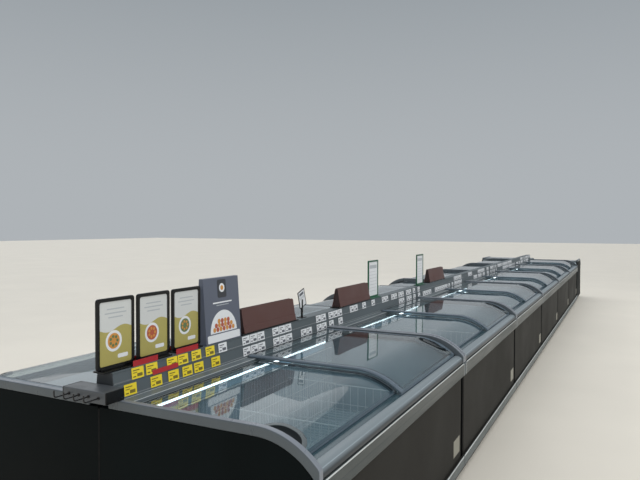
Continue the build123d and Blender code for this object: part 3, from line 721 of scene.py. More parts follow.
def cabinet_ends():
    """Side walls and end trims, the trims' upward and outward faces painted paler as light from above."""
    walls, trims = bmesh.new(), bmesh.new()
    for side in SIDES:
        start = side * HALF_INSIDE
        prism(walls, side_wall_outline(), start, start + side * SIDE_WALL_T, 0, 0.002)
        prism(trims, trim_outline(), start, start + side * TRIM_W, 0, 0.006, 4)
    build("side_wall_panels", everywhere(walls), ["side"], "dark_steel", "side_walls")
    trims.normal_update()
    # Painted light: faces that look up or outwards get the paler copy of the trim finish.
    for face in trims.faces:
        if abs(face.normal.y) < 0.6 and max(face.normal.x, face.normal.z) > 0.35:
            face.material_index = 1
    build("end_trim_bands", everywhere(trims), ["trim", "trim_top"], "trim_plastic", "end_trims")


def front_panels():
    """One sheet to a cabinet, black strips recessed at its ends painted as shade in the gap between panels,
    and its label plate.
    """
    bm = bmesh.new()
    low, high = (CARCASS_FRONT, -HALF_PANEL, SKIRT_BOTTOM), (PANEL_FRONT, HALF_PANEL, FRONT_TOP)
    block(bm, low, high, 0, 0.003, 3)
    # Painted shade: black strips, recessed at each end of the sheet, darken the gap between panels.
    for side in SIDES:
        low = (CARCASS_FRONT, side * (HALF_PANEL - 0.002), SKIRT_BOTTOM)
        block(bm, low, (PANEL_FRONT - 0.003, side * (HALF_PANEL + 0.014), FRONT_TOP), 3, 0.003, 3)
    for border, proud, material, edge in ((0.004, 0.0012, 2, 0.0008), (0.0, 0.0018, 1, 0.0005)):
        low = (PANEL_FRONT - 0.001, 0.829 - border, 0.176 - border)
        block(bm, low, (PANEL_FRONT + proud, 0.976 + border, 0.279 + border), material, edge, 1)
    materials = ["panel", "plate", "black", "seal_and_painted_shade"]
    build("front_panel_sheets", everywhere(bm), materials, "panel_steel", "front_panels")


def bumpers():
    """The bumper rail with a lip painted pale as a highlight along its top and a fine groove, and its rounded
    end caps with end faces painted black as shade in the gap between caps.
    """
    bm = bmesh.new()
    face, shelf, groove, bend = RAIL_FRONT - 0.0002, RAIL_FRONT - 0.0046, 0.6935, 0.009
    profile = [
        (PANEL_FRONT, FRONT_TOP - 0.0003),
        (shelf, FRONT_TOP - 0.0003),
        (shelf, FRONT_TOP - 0.0038),
        (face, FRONT_TOP - 0.0038),
        (face, groove + 0.0010),
        (face - 0.0012, groove),
        (face - 0.0002, groove - 0.0015),
        *arc((RAIL_FRONT - bend, BUMPER_BOTTOM + bend), bend, 90, 180, 6),
        (PANEL_FRONT, BUMPER_BOTTOM),
    ]
    run(bm, profile, HALF_BUMPER)
    # Painted highlight: a pale lip along the bumper's top edge.
    lip = [
        (RAIL_FRONT - 0.0043, FRONT_TOP),
        *arc((RAIL_FRONT - 0.003, FRONT_TOP - 0.003), 0.003, 0, 90, 5),
        (RAIL_FRONT, FRONT_TOP - 0.0035),
        (RAIL_FRONT - 0.0043, FRONT_TOP - 0.0035),
    ]
    run(bm, lip, HALF_BUMPER, 1)
    build("bumper_bars", everywhere(bm), ["rail", "lip"], "rail_plastic", "bumper_rails")

    bm = bmesh.new()
    first, steps = 1.0094, 14

    def drop(along, radius):
        """How far a corner of some radius has fallen away near the cap's end."""
        share = min(1.0, max(0.0, (along - (HALF_KICK - radius)) / radius))
        return radius * (1 - math.sqrt(1 - share * share))

    for side in SIDES:
        rings = []
        for k in range(steps + 1):
            along = first + (HALF_KICK - first) * (1 - (1 - k / steps) ** 2)
            depth = RAIL_FRONT - PANEL_FRONT - drop(along, 0.012)
            top, bottom = FRONT_TOP - drop(along, 0.018), BUMPER_BOTTOM + drop(along, 0.008)
            ring = rail_outline(bottom, top, min(0.006, depth - 0.001), PANEL_FRONT + depth)
            rings.append([(v, side * along, z) for v, z in ring])
        # Painted shade: each cap's end face gets the black rubber finish, as the shade in the gap between
        # caps.
        loft(bm, rings)[-1].material_index = 1
    build("bumper_end_caps", everywhere(bm), ["cap", "seal_and_painted_shade"], "rail_caps", "bumper_caps")


def kick_bars():
    """The kick rail with a bead painted pale as a highlight, a strip on top painted dark as shade, and a
    black strip below painted as the shadow under it.
    """
    bm = bmesh.new()
    run(bm, rail_outline(KICK_BOTTOM, KICK_TOP, 0.006), HALF_KICK, 0, 0.003)
    foot = KICK_TOP - 0.0047
    # Painted highlight: a pale bead along the kick rail's top edge.
    bead = [
        (RAIL_FRONT - 0.0070, KICK_TOP - 0.0007),
        *arc((RAIL_FRONT - 0.0044, KICK_TOP - 0.0034), 0.0042, 0, 90, 6),
        (RAIL_FRONT - 0.0002, foot),
        (RAIL_FRONT - 0.0070, foot),
    ]
    half = HALF_KICK - 0.0005
    run(bm, bead, half, 1)
    # Painted shade: the rail's top behind the bead in the dark panel paint.
    low, high = (PANEL_FRONT, -half, KICK_TOP - 0.0022), (RAIL_FRONT - 0.0072, half, KICK_TOP + 0.0008)
    block(bm, low, high, 2, 0.0008, 1)
    # Painted shadow: a black strip along the rail's underside stands in for the shadow on the floor beneath.
    half = HALF_KICK - 0.002
    low = (PANEL_FRONT + 0.001, -half, KICK_BOTTOM - 0.006)
    block(bm, low, (RAIL_FRONT - 0.002, half, KICK_BOTTOM + 0.002), 3, 0.0015)
    materials = ["kick", "lip", "panel", "seal_and_painted_shade"]
    build("kick_bars", everywhere(bm), materials, "rail_plastic", "kick_rails")


def front_rims():
    """The front trim: lid track, rounded nose with a ridge painted pale as a highlight, and a black strip
    below painted as shade in the gap over the bumper.
    """
    bm = bmesh.new()
    inner, under, lower = 0.9868, 1.0350, FRONT_TOP + 0.0060
    nose = [
        (inner, FRONT_TOP),
        (inner, TRACK_TOP + 0.0010),
        (inner + 0.0012, TRACK_TOP + 0.0026),
        (inner + 0.0037, TRACK_TOP + 0.0035),
        (inner + 0.0082, TRACK_TOP + 0.0039),
        *arc(NOSE_CENTRE, NOSE_R, 2, 90, 14),
        (NOSE_CENTRE[0] + NOSE_R, lower),
        (under, lower),
        (under, FRONT_TOP),
    ]
    run(bm, nose, HALF_INSIDE)
    # Painted highlight: a thin ridge on the nose in a pale finish.
    ridge = arc(NOSE_CENTRE, NOSE_R + 0.0008, 41, 45, 3) + arc(NOSE_CENTRE, NOSE_R - 0.0008, 46, 40, 3)
    run(bm, ridge, HALF_INSIDE, 3)
    low, high = (TANK_FRONT, -HALF_INSIDE, FRONT_TOP), (inner + 0.0002, HALF_INSIDE, TRACK_TOP)
    block(bm, low, high, 2, 0.0012)
    # Painted shade: a black strip at the back of the gap under the nose darkens it.
    low, high = (under - 0.0010, -HALF_INSIDE, FRONT_TOP), (under + 0.0012, HALF_INSIDE, lower - 0.0001)
    block(bm, low, high, 1)
    materials = ["rim", "seal_and_painted_shade", "track", "ridge"]
    build("front_tracks", everywhere(bm), materials, "front_trim", "front_trims")


def tank_coves():
    """Rounded inner corners of the tanks."""
    bm = bmesh.new()
    cove, clear, back_top = 0.022, 0.0004, 0.800
    fillet = [(0, 0), (cove, 0), *arc((cove, cove), cove, 180, 270, 6)[1:]]
    fillet = [(a + clear, b + clear) for a, b in fillet]
    for wall, way, top in ((TANK_BACK, 1, back_top), (TANK_FRONT, -1, FRONT_TOP)):
        for side in SIDES:
            corner = [(wall + way * a, side * (HALF_TANK - b)) for a, b in fillet]
            prism(bm, corner, TANK_FLOOR, top, upright=True)
        run(bm, [(wall + way * a, TANK_FLOOR + b) for a, b in fillet], HALF_TANK)
    build("tank_coves", everywhere(bm), ["liner"], "liner")


def tank_wires():
    """Wire grids at the back and on the floor of the tanks, and the dividers."""
    bm = bmesh.new()

    def rod(v, z, radius, sides=5):
        tube(bm, [(v, -HALF_GRID, z), (v, HALF_GRID, z)], radius, sides)

    upright_v, rod_v = TANK_BACK + 0.012, TANK_BACK + 0.0146
    for w in spread(HALF_GRID, 66):
        tube(bm, [(upright_v, w, GRID_LOW - 0.015), (upright_v, w, GRID_TOP)], 0.0014)
    for k in range(4):
        rod(rod_v, GRID_LOW + 0.1025 * k, 0.0017)
    rod(TANK_BACK + 0.0152, GRID_TOP, 0.0032, 8)
    floor_rod = TANK_FLOOR + 0.0145
    for w in spread(0.95, 38):
        tube(bm, [(0.125, w, floor_rod + 0.0035), (0.910, w, floor_rod + 0.0035)], 0.0015)
    for v in (0.14, 0.33, 0.52, 0.71, 0.895):
        rod(v, floor_rod, 0.002)
    for v in (0.14, 0.52, 0.895):
        for w in spread(0.93, 2):
            tube(bm, [(v, w, TANK_FLOOR - 0.0005), (v, w, floor_rod)], 0.003, 6)
    for z in (GRID_LOW, GRID_TOP):
        for w in spread(0.93, 3):
            tube(bm, [(TANK_BACK - 0.0005, w, z), (rod_v, w, z)], 0.002)
    build("tank_grids", everywhere(bm), ["wire"], "white_wire")

    bm = bmesh.new()
    inner, outer, bars = 0.112, 0.923, 17
    for w in (-DIVIDER_W, DIVIDER_W):
        hoop = [(inner, TANK_FLOOR), (inner, DIVIDER_TOP), (outer, DIVIDER_TOP), (outer, TANK_FLOOR)]
        tube(bm, smooth_bend([(v, w, z) for v, z in hoop], 0.02), 0.003, 8)
        for k in range(1, bars):
            v = inner + (outer - inner) * k / bars
            tube(bm, [(v, w, DIVIDER_LOW), (v, w, DIVIDER_TOP)], 0.0014)
        for z in (DIVIDER_LOW, 0.462, 0.575):
            tube(bm, [(inner, w + 0.0026, z), (outer, w + 0.0026, z)], 0.0016)
    build("divider_grids", everywhere(bm), ["wire"], "white_wire", "divider_frames")


def light_strips():
    """Channel, milky diffuser, end caps, and a plate below painted pale blue as the strip's light on the back
    wall.
    """
    bm = bmesh.new()

    def outline(*points):
        """Points from the tank's back wall."""
        return [(TANK_BACK + v, z) for v, z in points]

    channel = outline((0, LIGHT_LOW), (0.007, LIGHT_LOW), (0.007, LIGHT_TOP), (0, LIGHT_TOP))
    run(bm, channel, HALF_LIGHT, 0, 0.0006, 1)
    centre, rise = (0.0062, 0.8137), 0.0058
    ends = [(0.0068, centre[1] + way * rise) for way in SIDES]
    run(bm, outline(ends[0], *arc(centre, 0.0062, 158, 22, 8), ends[1]), HALF_LIGHT - 0.006, 1)
    # Painted light: the plate below the strip is pale blue, as the strip's light on the back wall.
    foot, top = 0.770, LIGHT_LOW + 0.0005
    plate = outline((0, foot), (0.004, foot), (0.0022, foot + 0.004), (0.0022, top), (0, top))
    run(bm, plate, HALF_LIGHT, 3, 0.0005, 1)
    for side in SIDES:
        low = (TANK_BACK, side * (HALF_LIGHT - 0.008), LIGHT_LOW)
        block(bm, low, (TANK_BACK + 0.012, side * HALF_LIGHT, LIGHT_TOP), 2, 0.0015)
    materials = ["channel", "light", "white", "painted_glow_plate"]
    build("light_strips", everywhere(bm), materials, "light_strip", "led_strips")


def back_tracks():
    """The stepped ledges that the lids run on at the back, with two grooves and beads painted pale as
    highlights.
    """
    bm = bmesh.new()
    profile, flat = [(BACK_LINE, BACK_WALL_TOP)], 0.002
    for edge, below, z, inset, slope, deep in (
        (0.150, BACK_WALL_TOP, LOWER_TRACK, 0.0040, 0.0010, 0.0015),
        (0.112, LOWER_TRACK, UPPER_TRACK, 0.0035, 0.0005, 0.0012),
    ):
        near = edge - inset
        far = near - 2 * slope - flat
        groove = [(near, z), (near - slope, z - deep), (far + slope, z - deep), (far, z)]
        profile += [(edge, below), (edge, z), *groove]
        # Painted highlight: a pale bead along each step's edge.
        low, high = (edge - 0.004, -HALF_INSIDE, z - 0.004), (edge + 0.0003, HALF_INSIDE, z - 0.0003)
        block(bm, low, high, 1, 0.0008, 2)
    run(bm, [*profile, (BACK_LINE, UPPER_TRACK)], HALF_INSIDE, 0, 0.0004, 1)
    # Painted highlight: a pale bead at the foot of the carrier.
    low = (TRIM_BACK - 0.0005, -HALF_INSIDE, UPPER_TRACK)
    block(bm, low, (TRIM_BACK + 0.0040, HALF_INSIDE, UPPER_TRACK + 0.0002), 1)
    build("back_track_rails", everywhere(bm), ["ledge", "bead"], "ledge_plastic", "back_ledges")


# Lids


def lid_point(radius, depth, angle):
    """A point of the lid's bend, some depth under its outer face."""
    reach = radius - depth
    return LID_BEND_V + reach * math.sin(angle), LID_BEND_Z + reach * math.cos(angle)


def lid_stations(radius, back, last, steps=22):
    """Functions from depth to (v, z) along a lid, over its flat part and round its bend."""
    flat = [back + (LID_BEND_V - back) * k / 4 for k in range(4)]
    stations = [lambda d, v=v: (v, LID_BEND_Z + radius - d) for v in flat]
    stations += [lambda d, a=last * k / steps: lid_point(radius, d, a) for k in range(steps + 1)]
    return stations


def lid_span(side):
    """Start and end of a lid along w. Side says which end is the outer one."""
    return sorted((side * LID_ZONE, -side * LID_OVERLAP_HALF))


def follow(bm, stations, section, start, way, material=0):
    """Lofts a section of (reach along w, depth) points along the lid."""
    rings = []
    for at in stations:
        spots = [(start + way * reach, at(depth)) for reach, depth in section]
        rings.append([(v, w, z) for w, (v, z) in spots])
    loft(bm, rings, material)


def lid_frame(radius, back, front, side):
    """Two bows, two runners, the grip and the gasket round the glass."""
    bm = bmesh.new()
    last = math.asin((front - LID_BEND_V) / radius)
    low, high = lid_span(side)
    half, free = BOW_W / 2, 0.0082
    bow = [(half, 0.0016), (half, LID_T), (-half + 0.004, LID_T), (-half, LID_T - 0.003)]
    bow += [(-half + free + a, free - b) for a, b in arc((0, 0), free, -90, 0, 7)]
    bow += [(half - 0.0016, 0.0)]
    stations = lid_stations(radius, back, last)
    for middle, way in ((low + half, 1), (high - half, -1)):
        follow(bm, stations, bow, middle, way)
    top = LID_BEND_Z + radius
    inner = back + BACK_RUNNER_W
    block(bm, (back, low, top - LID_T), (inner, high, top), 5, 0.002, 3)
    cut, tip, under = front - RUNNER_W, front - 0.0012, radius - 0.0062
    runner = [
        (v, LID_BEND_Z + math.sqrt(under**2 - (v - LID_BEND_V) ** 2))
        for v in (cut, cut + RUNNER_W / 2, tip)
    ]
    runner += [(tip, TRACK_TOP + 0.0003), (cut, TRACK_TOP + 0.0003)]
    prism(bm, runner, low, high, 0, 0.0012, 2)

    gasket = [(0.0, 0.0004), (0.0045, 0.0004), (0.0055, 0.0022), (0.0055, 0.0075), (0.0, 0.0075)]
    for start, way in ((low + BOW_W - 0.001, 1), (high - BOW_W + 0.001, -1)):
        follow(bm, stations[1:-1], gasket, start, way, 2)
    near, far = inner - 0.001, inner + 0.0045
    gasket = [(near, top - 0.0004), (far, top - 0.0009), (far, top - 0.0075), (near, top - 0.0075)]
    prism(bm, gasket, low + BOW_W, high - BOW_W, 2)
    if side < 0:
        border = [(0.0, 0.0061), (0.030, 0.0061), (0.030, 0.0066), (0.0, 0.0066)]
        follow(bm, stations[1:-1], border, high - BOW_W, -1, 3)
    lid_grip(bm, radius, last, side)
    return bm


def grip_span(radius, last):
    """Middle angle and half length of the grip along the bend."""
    return last * 0.497, radius * last * 0.455


def grip_plan(steps):
    """The grip's D shape: reach from the lid's end and place along it, as shares."""
    turns = spread(math.pi / 2, steps)
    return [(abs(math.cos(a)) ** 0.75, math.copysign(abs(math.sin(a)) ** 0.8, a)) for a in turns]


def ease(x):
    """A soft step from 0 to 1."""
    x = max(0.0, min(1.0, x))
    return x * x * (3 - 2 * x)


def lid_grip(bm, radius, last, side):
    """A D-shaped plate at the lid's outer end with a scooped recess."""
    middle, half = grip_span(radius, last)
    count, steps = 18, 36

    def spot(a, b, depth):
        v, z = lid_point(radius, depth, middle + b * half / radius)
        return (v, side * (LID_ZONE - a * GRIP_LENGTH), z)

    rows = []
    for i in range(count + 1):
        rho = i / count
        row = []
        for a, b in grip_plan(steps):
            scoop = ease((0.86 - rho) / 0.14) * ease((rho * a * GRIP_LENGTH - 0.040) / 0.010)
            row.append((rho * a, rho * b, 0.0102 * scoop + 0.0012 * ease((rho - 0.97) / 0.03)))
        rows.append(row)
    centre = bm.verts.new(spot(*rows[0][0]))
    top = [[centre] * (steps + 1)] + [[bm.verts.new(spot(*p)) for p in row] for row in rows[1:]]
    for i in range(count):
        for j in range(steps):
            quad = [top[i][j], top[i][j + 1], top[i + 1][j + 1], top[i + 1][j]]
            if i == 0:
                quad = [centre, top[1][j + 1], top[1][j]]
            face = bm.faces.new(quad)
            depth = max(rows[i][j][2], rows[i + 1][j + 1][2])
            face.material_index = 1 if depth > 0.003 else (4 if i >= count - 3 else 0)
    skirt = [bm.verts.new(spot(a, b, LID_T)) for a, b, _ in rows[-1]]
    under = bm.verts.new(spot(0, 0, LID_T))
    for j in range(steps):
        bm.faces.new((top[-1][j], top[-1][j + 1], skirt[j + 1], skirt[j]))
        bm.faces.new((skirt[j], skirt[j + 1], under))
    straight = [row[0] for row in top[:0:-1]] + [centre] + [row[-1] for row in top[1:]]
    bm.faces.new([*straight, skirt[steps], under, skirt[0]])


def loose(name, mesh):
    """An object that isn't kept."""
    piece = bpy.data.objects.new(name, mesh)
    bpy.context.scene.collection.objects.link(piece)
    return piece


def lid_pane(radius, back, front, side):
    """The bent pane, open where the grip sits."""
    last = math.asin((front - 0.0006 - LID_BEND_V) / (radius - 0.001))
    low, high = lid_span(side)
    low, high = low + BOW_W + 0.0002, high - BOW_W - 0.0002
    bm, cutter = bmesh.new(), bmesh.new()
    stations = lid_stations(radius, back + BACK_RUNNER_W + 0.0002, last, 30)
    section = [(low, 0.001), (high, 0.001), (high, 0.006), (low, 0.006)]
    follow(bm, stations, section, 0, 1)
    piece = loose("pane", finish_mesh(f"pane_{side}", bm, ["glass"]))

    middle, half = grip_span(radius, math.asin((front - LID_BEND_V) / radius))
    inset, past = 0.975, -0.02
    plan = [(inset * a * GRIP_LENGTH, inset * b * half) for a, b in grip_plan(32)]
    plan += [(past, plan[-1][1]), (past, plan[0][1])]
    rings = []
    for depth in (-0.01, 0.03):
        spots = [(a, lid_point(radius, depth, middle + b / radius)) for a, b in plan]
        rings.append([(v, side * (LID_ZONE - a), z) for a, (v, z) in spots])
    loft(cutter, rings)
    tool = loose("cutter", finish_mesh("cutter", cutter, []))
    cut = piece.modifiers.new("cut", "BOOLEAN")
    cut.operation, cut.object, cut.solver = "DIFFERENCE", tool, "EXACT"
    done = bpy.data.meshes.new_from_object(piece.evaluated_get(bpy.context.evaluated_depsgraph_get()))
    bpy.data.objects.remove(piece)
    bpy.data.objects.remove(tool)
    done.materials.clear()
    return smooth(done, ["glass"], SHARP_GLASS)


def lids():
    """All lids: one mesh for each of the two levels, shared by the thirteen cabinets."""
    kinds = {
        "lower_lid": (0.372, 0.120, RAIL_FRONT - 0.106, -1),
        "upper_lid": (0.400, 0.062, RAIL_FRONT - 0.065, 1),
    }
    materials = ["bow", "recess", "gasket", "border", "cap", "ledge"]
    for kind, sizes in kinds.items():
        frame_mesh = finish_mesh(f"{kind}_frame", lid_frame(*sizes), materials)
        pane_mesh = lid_pane(*sizes)
        for name, place in zip(CABINET_NAMES, CABINETS):
            body = f"{name}_{kind}"
            place_mesh(f"{body}_frame", frame_mesh, body, [body], place)
            pane = place_mesh(f"{body}_pane", pane_mesh, body, (), place)
            pane.modifiers.clear()


# Price carrier


def spine_half(z):
    """Half the carrier's width at a height."""
    share = (z - UPPER_TRACK) / (SPINE_TOP - UPPER_TRACK)
    return SPINE_FOOT_HALF + share * (SPINE_TOP_HALF - SPINE_FOOT_HALF)


def carrier():
    """The sloping price carrier with ribs, its end cap and the label channels' lips."""
    seams = [ROW_START + PITCH * k for k in range(PER_ROW + 1)]
    starts = [ROW_START + SPINE_FIRST, *(y + SPINE_JOINT for y in seams[1:-1])]
    lengths = list(zip(starts, (y - SPINE_JOINT for y in seams[1:])))
    proud, step = 0.002, 0.0015
    ribs = ((UPPER_TRACK, UPPER_TRACK + 0.005), (0.942, 0.946), (SPINE_TOP - 0.006, SPINE_TOP))
    right = []
    for low, high in ribs:
        if low > UPPER_TRACK:
            right += [(spine_half(low - step), low - step)]
        right += [(spine_half(z) + proud, z) for z in (low, high)]
        if high < SPINE_TOP:
            right += [(spine_half(high + step), high + step)]
    groove = SPINE_TOP - 0.0015
    right += [(0.033, SPINE_TOP), (0.032, groove), (0.029, groove), (0.028, SPINE_TOP)]
    outline = right + [(-x, z) for x, z in reversed(right)]
    bm = bmesh.new()
    for first, last in lengths:
        prism(bm, outline, first, last, 0, 0.0006, 1)
    build("carrier_lengths", bm, ["spine"], "spine_steel", "spine_housings")

    bm = bmesh.new()
    foot, head = SPINE_FOOT_HALF + 0.003, SPINE_TOP_HALF + 0.003
    cap = [(foot, UPPER_TRACK), (head, SPINE_TOP), (-head, SPINE_TOP), (-foot, UPPER_TRACK)]
    prism(bm, cap, ROW_START + SPINE_FIRST - 0.006, ROW_START + SPINE_FIRST, 0, 0.0018, 3)
    build("carrier_end_cap", bm, ["end_grey"], "black_plastic", "spine_end_cap")

    bm = bmesh.new()
    lip = [(0.0001, 0.0), (0.0018, 0.0), (0.0018, 0.0042), (0.0012, 0.0042)]
    lip += [(0.0009, 0.0012), (0.0001, 0.0012)]
    for first, last in lengths:
        for side in SIDES:
            for z in (0.8845, 0.9485):
                points = [(side * (spine_half(z + b) + a), z + b) for a, b in lip]
                prism(bm, points, first + 0.004, last - 0.004)
    build("carrier_channels", bm, ["spine_lip"], "spine_steel")


def leaning(side, slope):
    """The directions up and out of a face that leans inwards."""
    sine, cosine = math.sin(slope), math.cos(slope)
    return Vector((-side * sine, 0, cosine)), Vector((side * cosine, 0, sine))


def tag(bm, side, y, z, material, ink=None, size=TAG_SIZE, lift=0.0028):
    """A label held against the carrier's slope, with plain printed bars."""
    slope = math.atan((SPINE_FOOT_HALF - SPINE_TOP_HALF) / (SPINE_TOP - UPPER_TRACK))
    up, out = leaning(side, slope)
    centre = Vector((side * spine_half(z), ROW_START + y, z)) + out * lift
    tilt = Matrix.Rotation(math.radians(rng.uniform(-0.8, 0.8)), 3, out)
    along, up = tilt @ Vector((0, 1, 0)), tilt @ up
    bars = [(0, 0, 1, 1)]
    if ink is not None:
        bars += [
            (-0.12, 0.26, 0.56, 0.10),
            (-0.22, 0.05, 0.36, 0.07),
            (0.16, -0.20, 0.44, 0.30),
            (-0.28, -0.30, 0.24, 0.12),
        ]
    for k, (right, rise, wide, high) in enumerate(bars):
        wide, high = wide * size[0], high * size[1]
        base = centre + along * right * size[0] + up * rise * size[1]
        ring = rounded_box(wide, high, min(0.0015, wide / 3, high / 3), 1)
        if k:
            sheet(bm, base + out * 0.0005, ring, 0.0002, ink, up, out, along)
        else:
            sheet(bm, base, ring, 0.0008, material, up, out, along)


def tags():
    """Shelf labels on both faces of the carrier: yellow ones first, then white ones in groups."""
    bm = bmesh.new()
    row_end, seam_gap = PITCH * PER_ROW, 0.05
    for side in (1, -1):
        for y in (0.188, 0.277, 0.416, 0.495, 0.597, 0.710):
            tag(bm, side, y, UPPER_TAGS, 0, 2)
        for y in (0.137, 0.300, 0.418, 0.520, 0.609, 0.750):
            tag(bm, side, y, LOWER_TAGS, 0, 2)
        tag(bm, side, 0.820, UPPER_TAGS, 1, 3)
        y = 1.043
        while y < row_end - 0.12:
            group = rng.choice((1, 2, 2, 2, 3, 4) if y < 4 else (2, 3, 4, 5, 6, 7))
            shape = rng.choice(("both", "both", "upper", "both", "lower"))
            for k in range(group):
                here = y + k * TAG_STEP
                if not seam_gap <= here % PITCH <= PITCH - seam_gap or here > row_end - 0.1:
                    continue
                if shape in ("both", "upper"):
                    tag(bm, side, here, UPPER_TAGS, 1, 3)
                if shape in ("both", "lower") and rng.random() < 0.92:
                    tag(bm, side, here, LOWER_TAGS, 1, 3)
            y += group * TAG_STEP + rng.uniform(0.03, 0.17)
        tag(bm, side, 0.366, 0.9520, 4, size=(0.176, 0.022), lift=0.0040)
    build("shelf_labels", bm, ["yellow", "white", "yellow_ink", "tag_ink", "red"], "white_card")

    bm = bmesh.new()
    for side in (1, -1):
        for first, last in ((0.167, 0.325), (0.453, 0.620)):
            low = (side * 0.0372, ROW_START + first, SPINE_TOP - 0.0005)
            block(bm, low, (side * 0.0382, ROW_START + last, SPINE_TOP + 0.026), 0, 0.0003, 1)
    build("red_strips", bm, ["red"], "white_card")


# Displays


def ring_frame(bm, y, bottom, size, thick, border, radii):
    """An upright picture frame with rounded corners and a rounded section."""
    width, height = size
    middle = bottom + height / 2
    section = rounded_box(1, 1, 0.22, 3)
    outer = rounded_box(width, height, radii[0], 6)
    inner = rounded_box(width - 2 * border, height - 2 * border, radii[1], 6)
    rings = []
    for (ox, oy), (ix, iy) in zip(outer, inner):
        ring = []
        for s, t in section:
            share = s + 0.5
            ring.append((t * thick, y + ix + (ox - ix) * share, middle + iy + (oy - iy) * share))
        rings.append(ring)
    loft(bm, rings, closed=True)


def framed(bm, here, size, thick, border, radii, feet):
    """A frame standing in a holder on the carrier. Feet gives half sizes and heights."""
    ring_frame(bm, here, DISPLAY_BASE, size, thick, border, radii)
    (foot, foot_edge), (x, half, rise, edge) = feet
    block(bm, (-0.032, here - foot, SPINE_TOP), (0.032, here + foot, DISPLAY_BASE), 0, foot_edge)
    low = (-x, here - half, DISPLAY_BASE - 0.002)
    block(bm, low, (x, here + half, DISPLAY_BASE + rise), 0, edge)


def posters():
    """Three framed posters with a plain generic print on both faces."""
    bm = bmesh.new()
    feet = ((0.096, 0.002), (0.011, 0.09, 0.010, 0.002))
    for y in POSTER_YS:
        framed(bm, ROW_START + y, (0.216, 0.306), 0.014, 0.016, (0.014, 0.011), feet)
    build("poster_surrounds", bm, ["black"], "black_plastic", "poster_frames")

    bm = bmesh.new()
    middle, low = DISPLAY_BASE + 0.153, DISPLAY_BASE + 0.118
    half, steps = 0.092, 24
    hill = [(-half, -0.137), (half, -0.137)]
    for k, w in enumerate(reversed(spread(half, steps))):
        hill.append((w, 0.018 + 0.012 * math.sin(2 * math.pi * k / steps)))
    for y, accent in zip(POSTER_YS, (3, 4, 5)):
        here = ROW_START + y
        sheet(bm, (0, here, middle), rounded_box(0.188, 0.278, 0.010, 5), 0.0036, 0)
        for side in SIDES:
            x, plate = side * 0.0020, here - side * 0.012
            prints = [((x, here, middle), hill, 1)]
            for length, rise in ((0.10, 0.104), (0.124, 0.086), (0.084, 0.068)):
                prints.append(((x, here, middle + rise), rounded_box(length, 0.005, 0.002, 2), 2))
            prints += [((x * 1.15, plate, low), disc(0.046), 6), ((x * 1.3, plate, low), disc(0.034), accent)]
            for a, b in disc(0.02, 7):
                dot = (x * 1.45, plate + a, low + b)
                prints.append((dot, disc(0.0068, 16), 3 if accent != 3 else 5))
            corner = (x * 1.15, here + side * 0.04, middle - 0.105)
            prints.append((corner, rounded_box(0.06, 0.018, 0.006, 3), 6))
            for base, points, material in prints:
                sheet(bm, base, points, INK_T, material)
    materials = ["pale", "mustard", "line", "ochre", "rust", "leaf", "white"]
    build("poster_prints", bm, materials, "poster_card", "posters")


def stand():
    """The closed wedge of slate board with a generic print."""
    bm = bmesh.new()
    here = ROW_START + STAND_Y
    foot, top, height, half = 0.038, 0.013, 0.346, 0.158
    tip = SPINE_TOP + height
    wedge = [(foot, SPINE_TOP), (top, tip), (-top, tip), (-foot, SPINE_TOP)]
    prism(bm, wedge, here - half, here + half, 0, 0.002, 2)
    slope = math.atan((foot - top) / height)
    # Outline, place along and up, material, and how far it lies over the board
    prints = [
        (rounded_box(0.078, 0.098, 0.010, 4), 0, 0.286, 1, 0.0004),
        (disc(0.024), 0, 0.290, 2, 0.0009),
        (disc(0.013), 0, 0.290, 3, 0.0014),
        (rounded_box(0.17, 0.007, 0.003, 2), 0, 0.212, 2, 0.0004),
        (rounded_box(0.11, 0.004, 0.0015, 2), 0, 0.198, 4, 0.0004),
        (disc(0.118, 60)[:31], 0, 0.052, 2, 0.0004),
        (rounded_box(0.29, 0.040, 0.006, 3), 0, 0.026, 2, 0.0006),
    ]
    for row, count, reach in ((0, 7, 0.084), (1, 6, 0.068), (2, 4, 0.042)):
        for k, y in enumerate(spread(reach, count - 1)):
            z, lift = 0.070 + 0.022 * row, 0.0009 + 0.0003 * row
            prints.append((disc(0.0125, 18), y, z, (3, 5)[(k + row) % 2], lift))
    for side in SIDES:
        up, out = leaning(side, slope)
        for points, y, z, material, lift in prints:
            x = side * (foot + (top - foot) * z / height)
            base = Vector((x, here + y, SPINE_TOP + z)) + out * lift
            sheet(bm, base, points, 0.0006, material, up, out)
    materials = ["slate", "ink", "white", "ochre", "line", "rust"]
    build("stand_board", bm, materials, "slate_card", "display_stand")


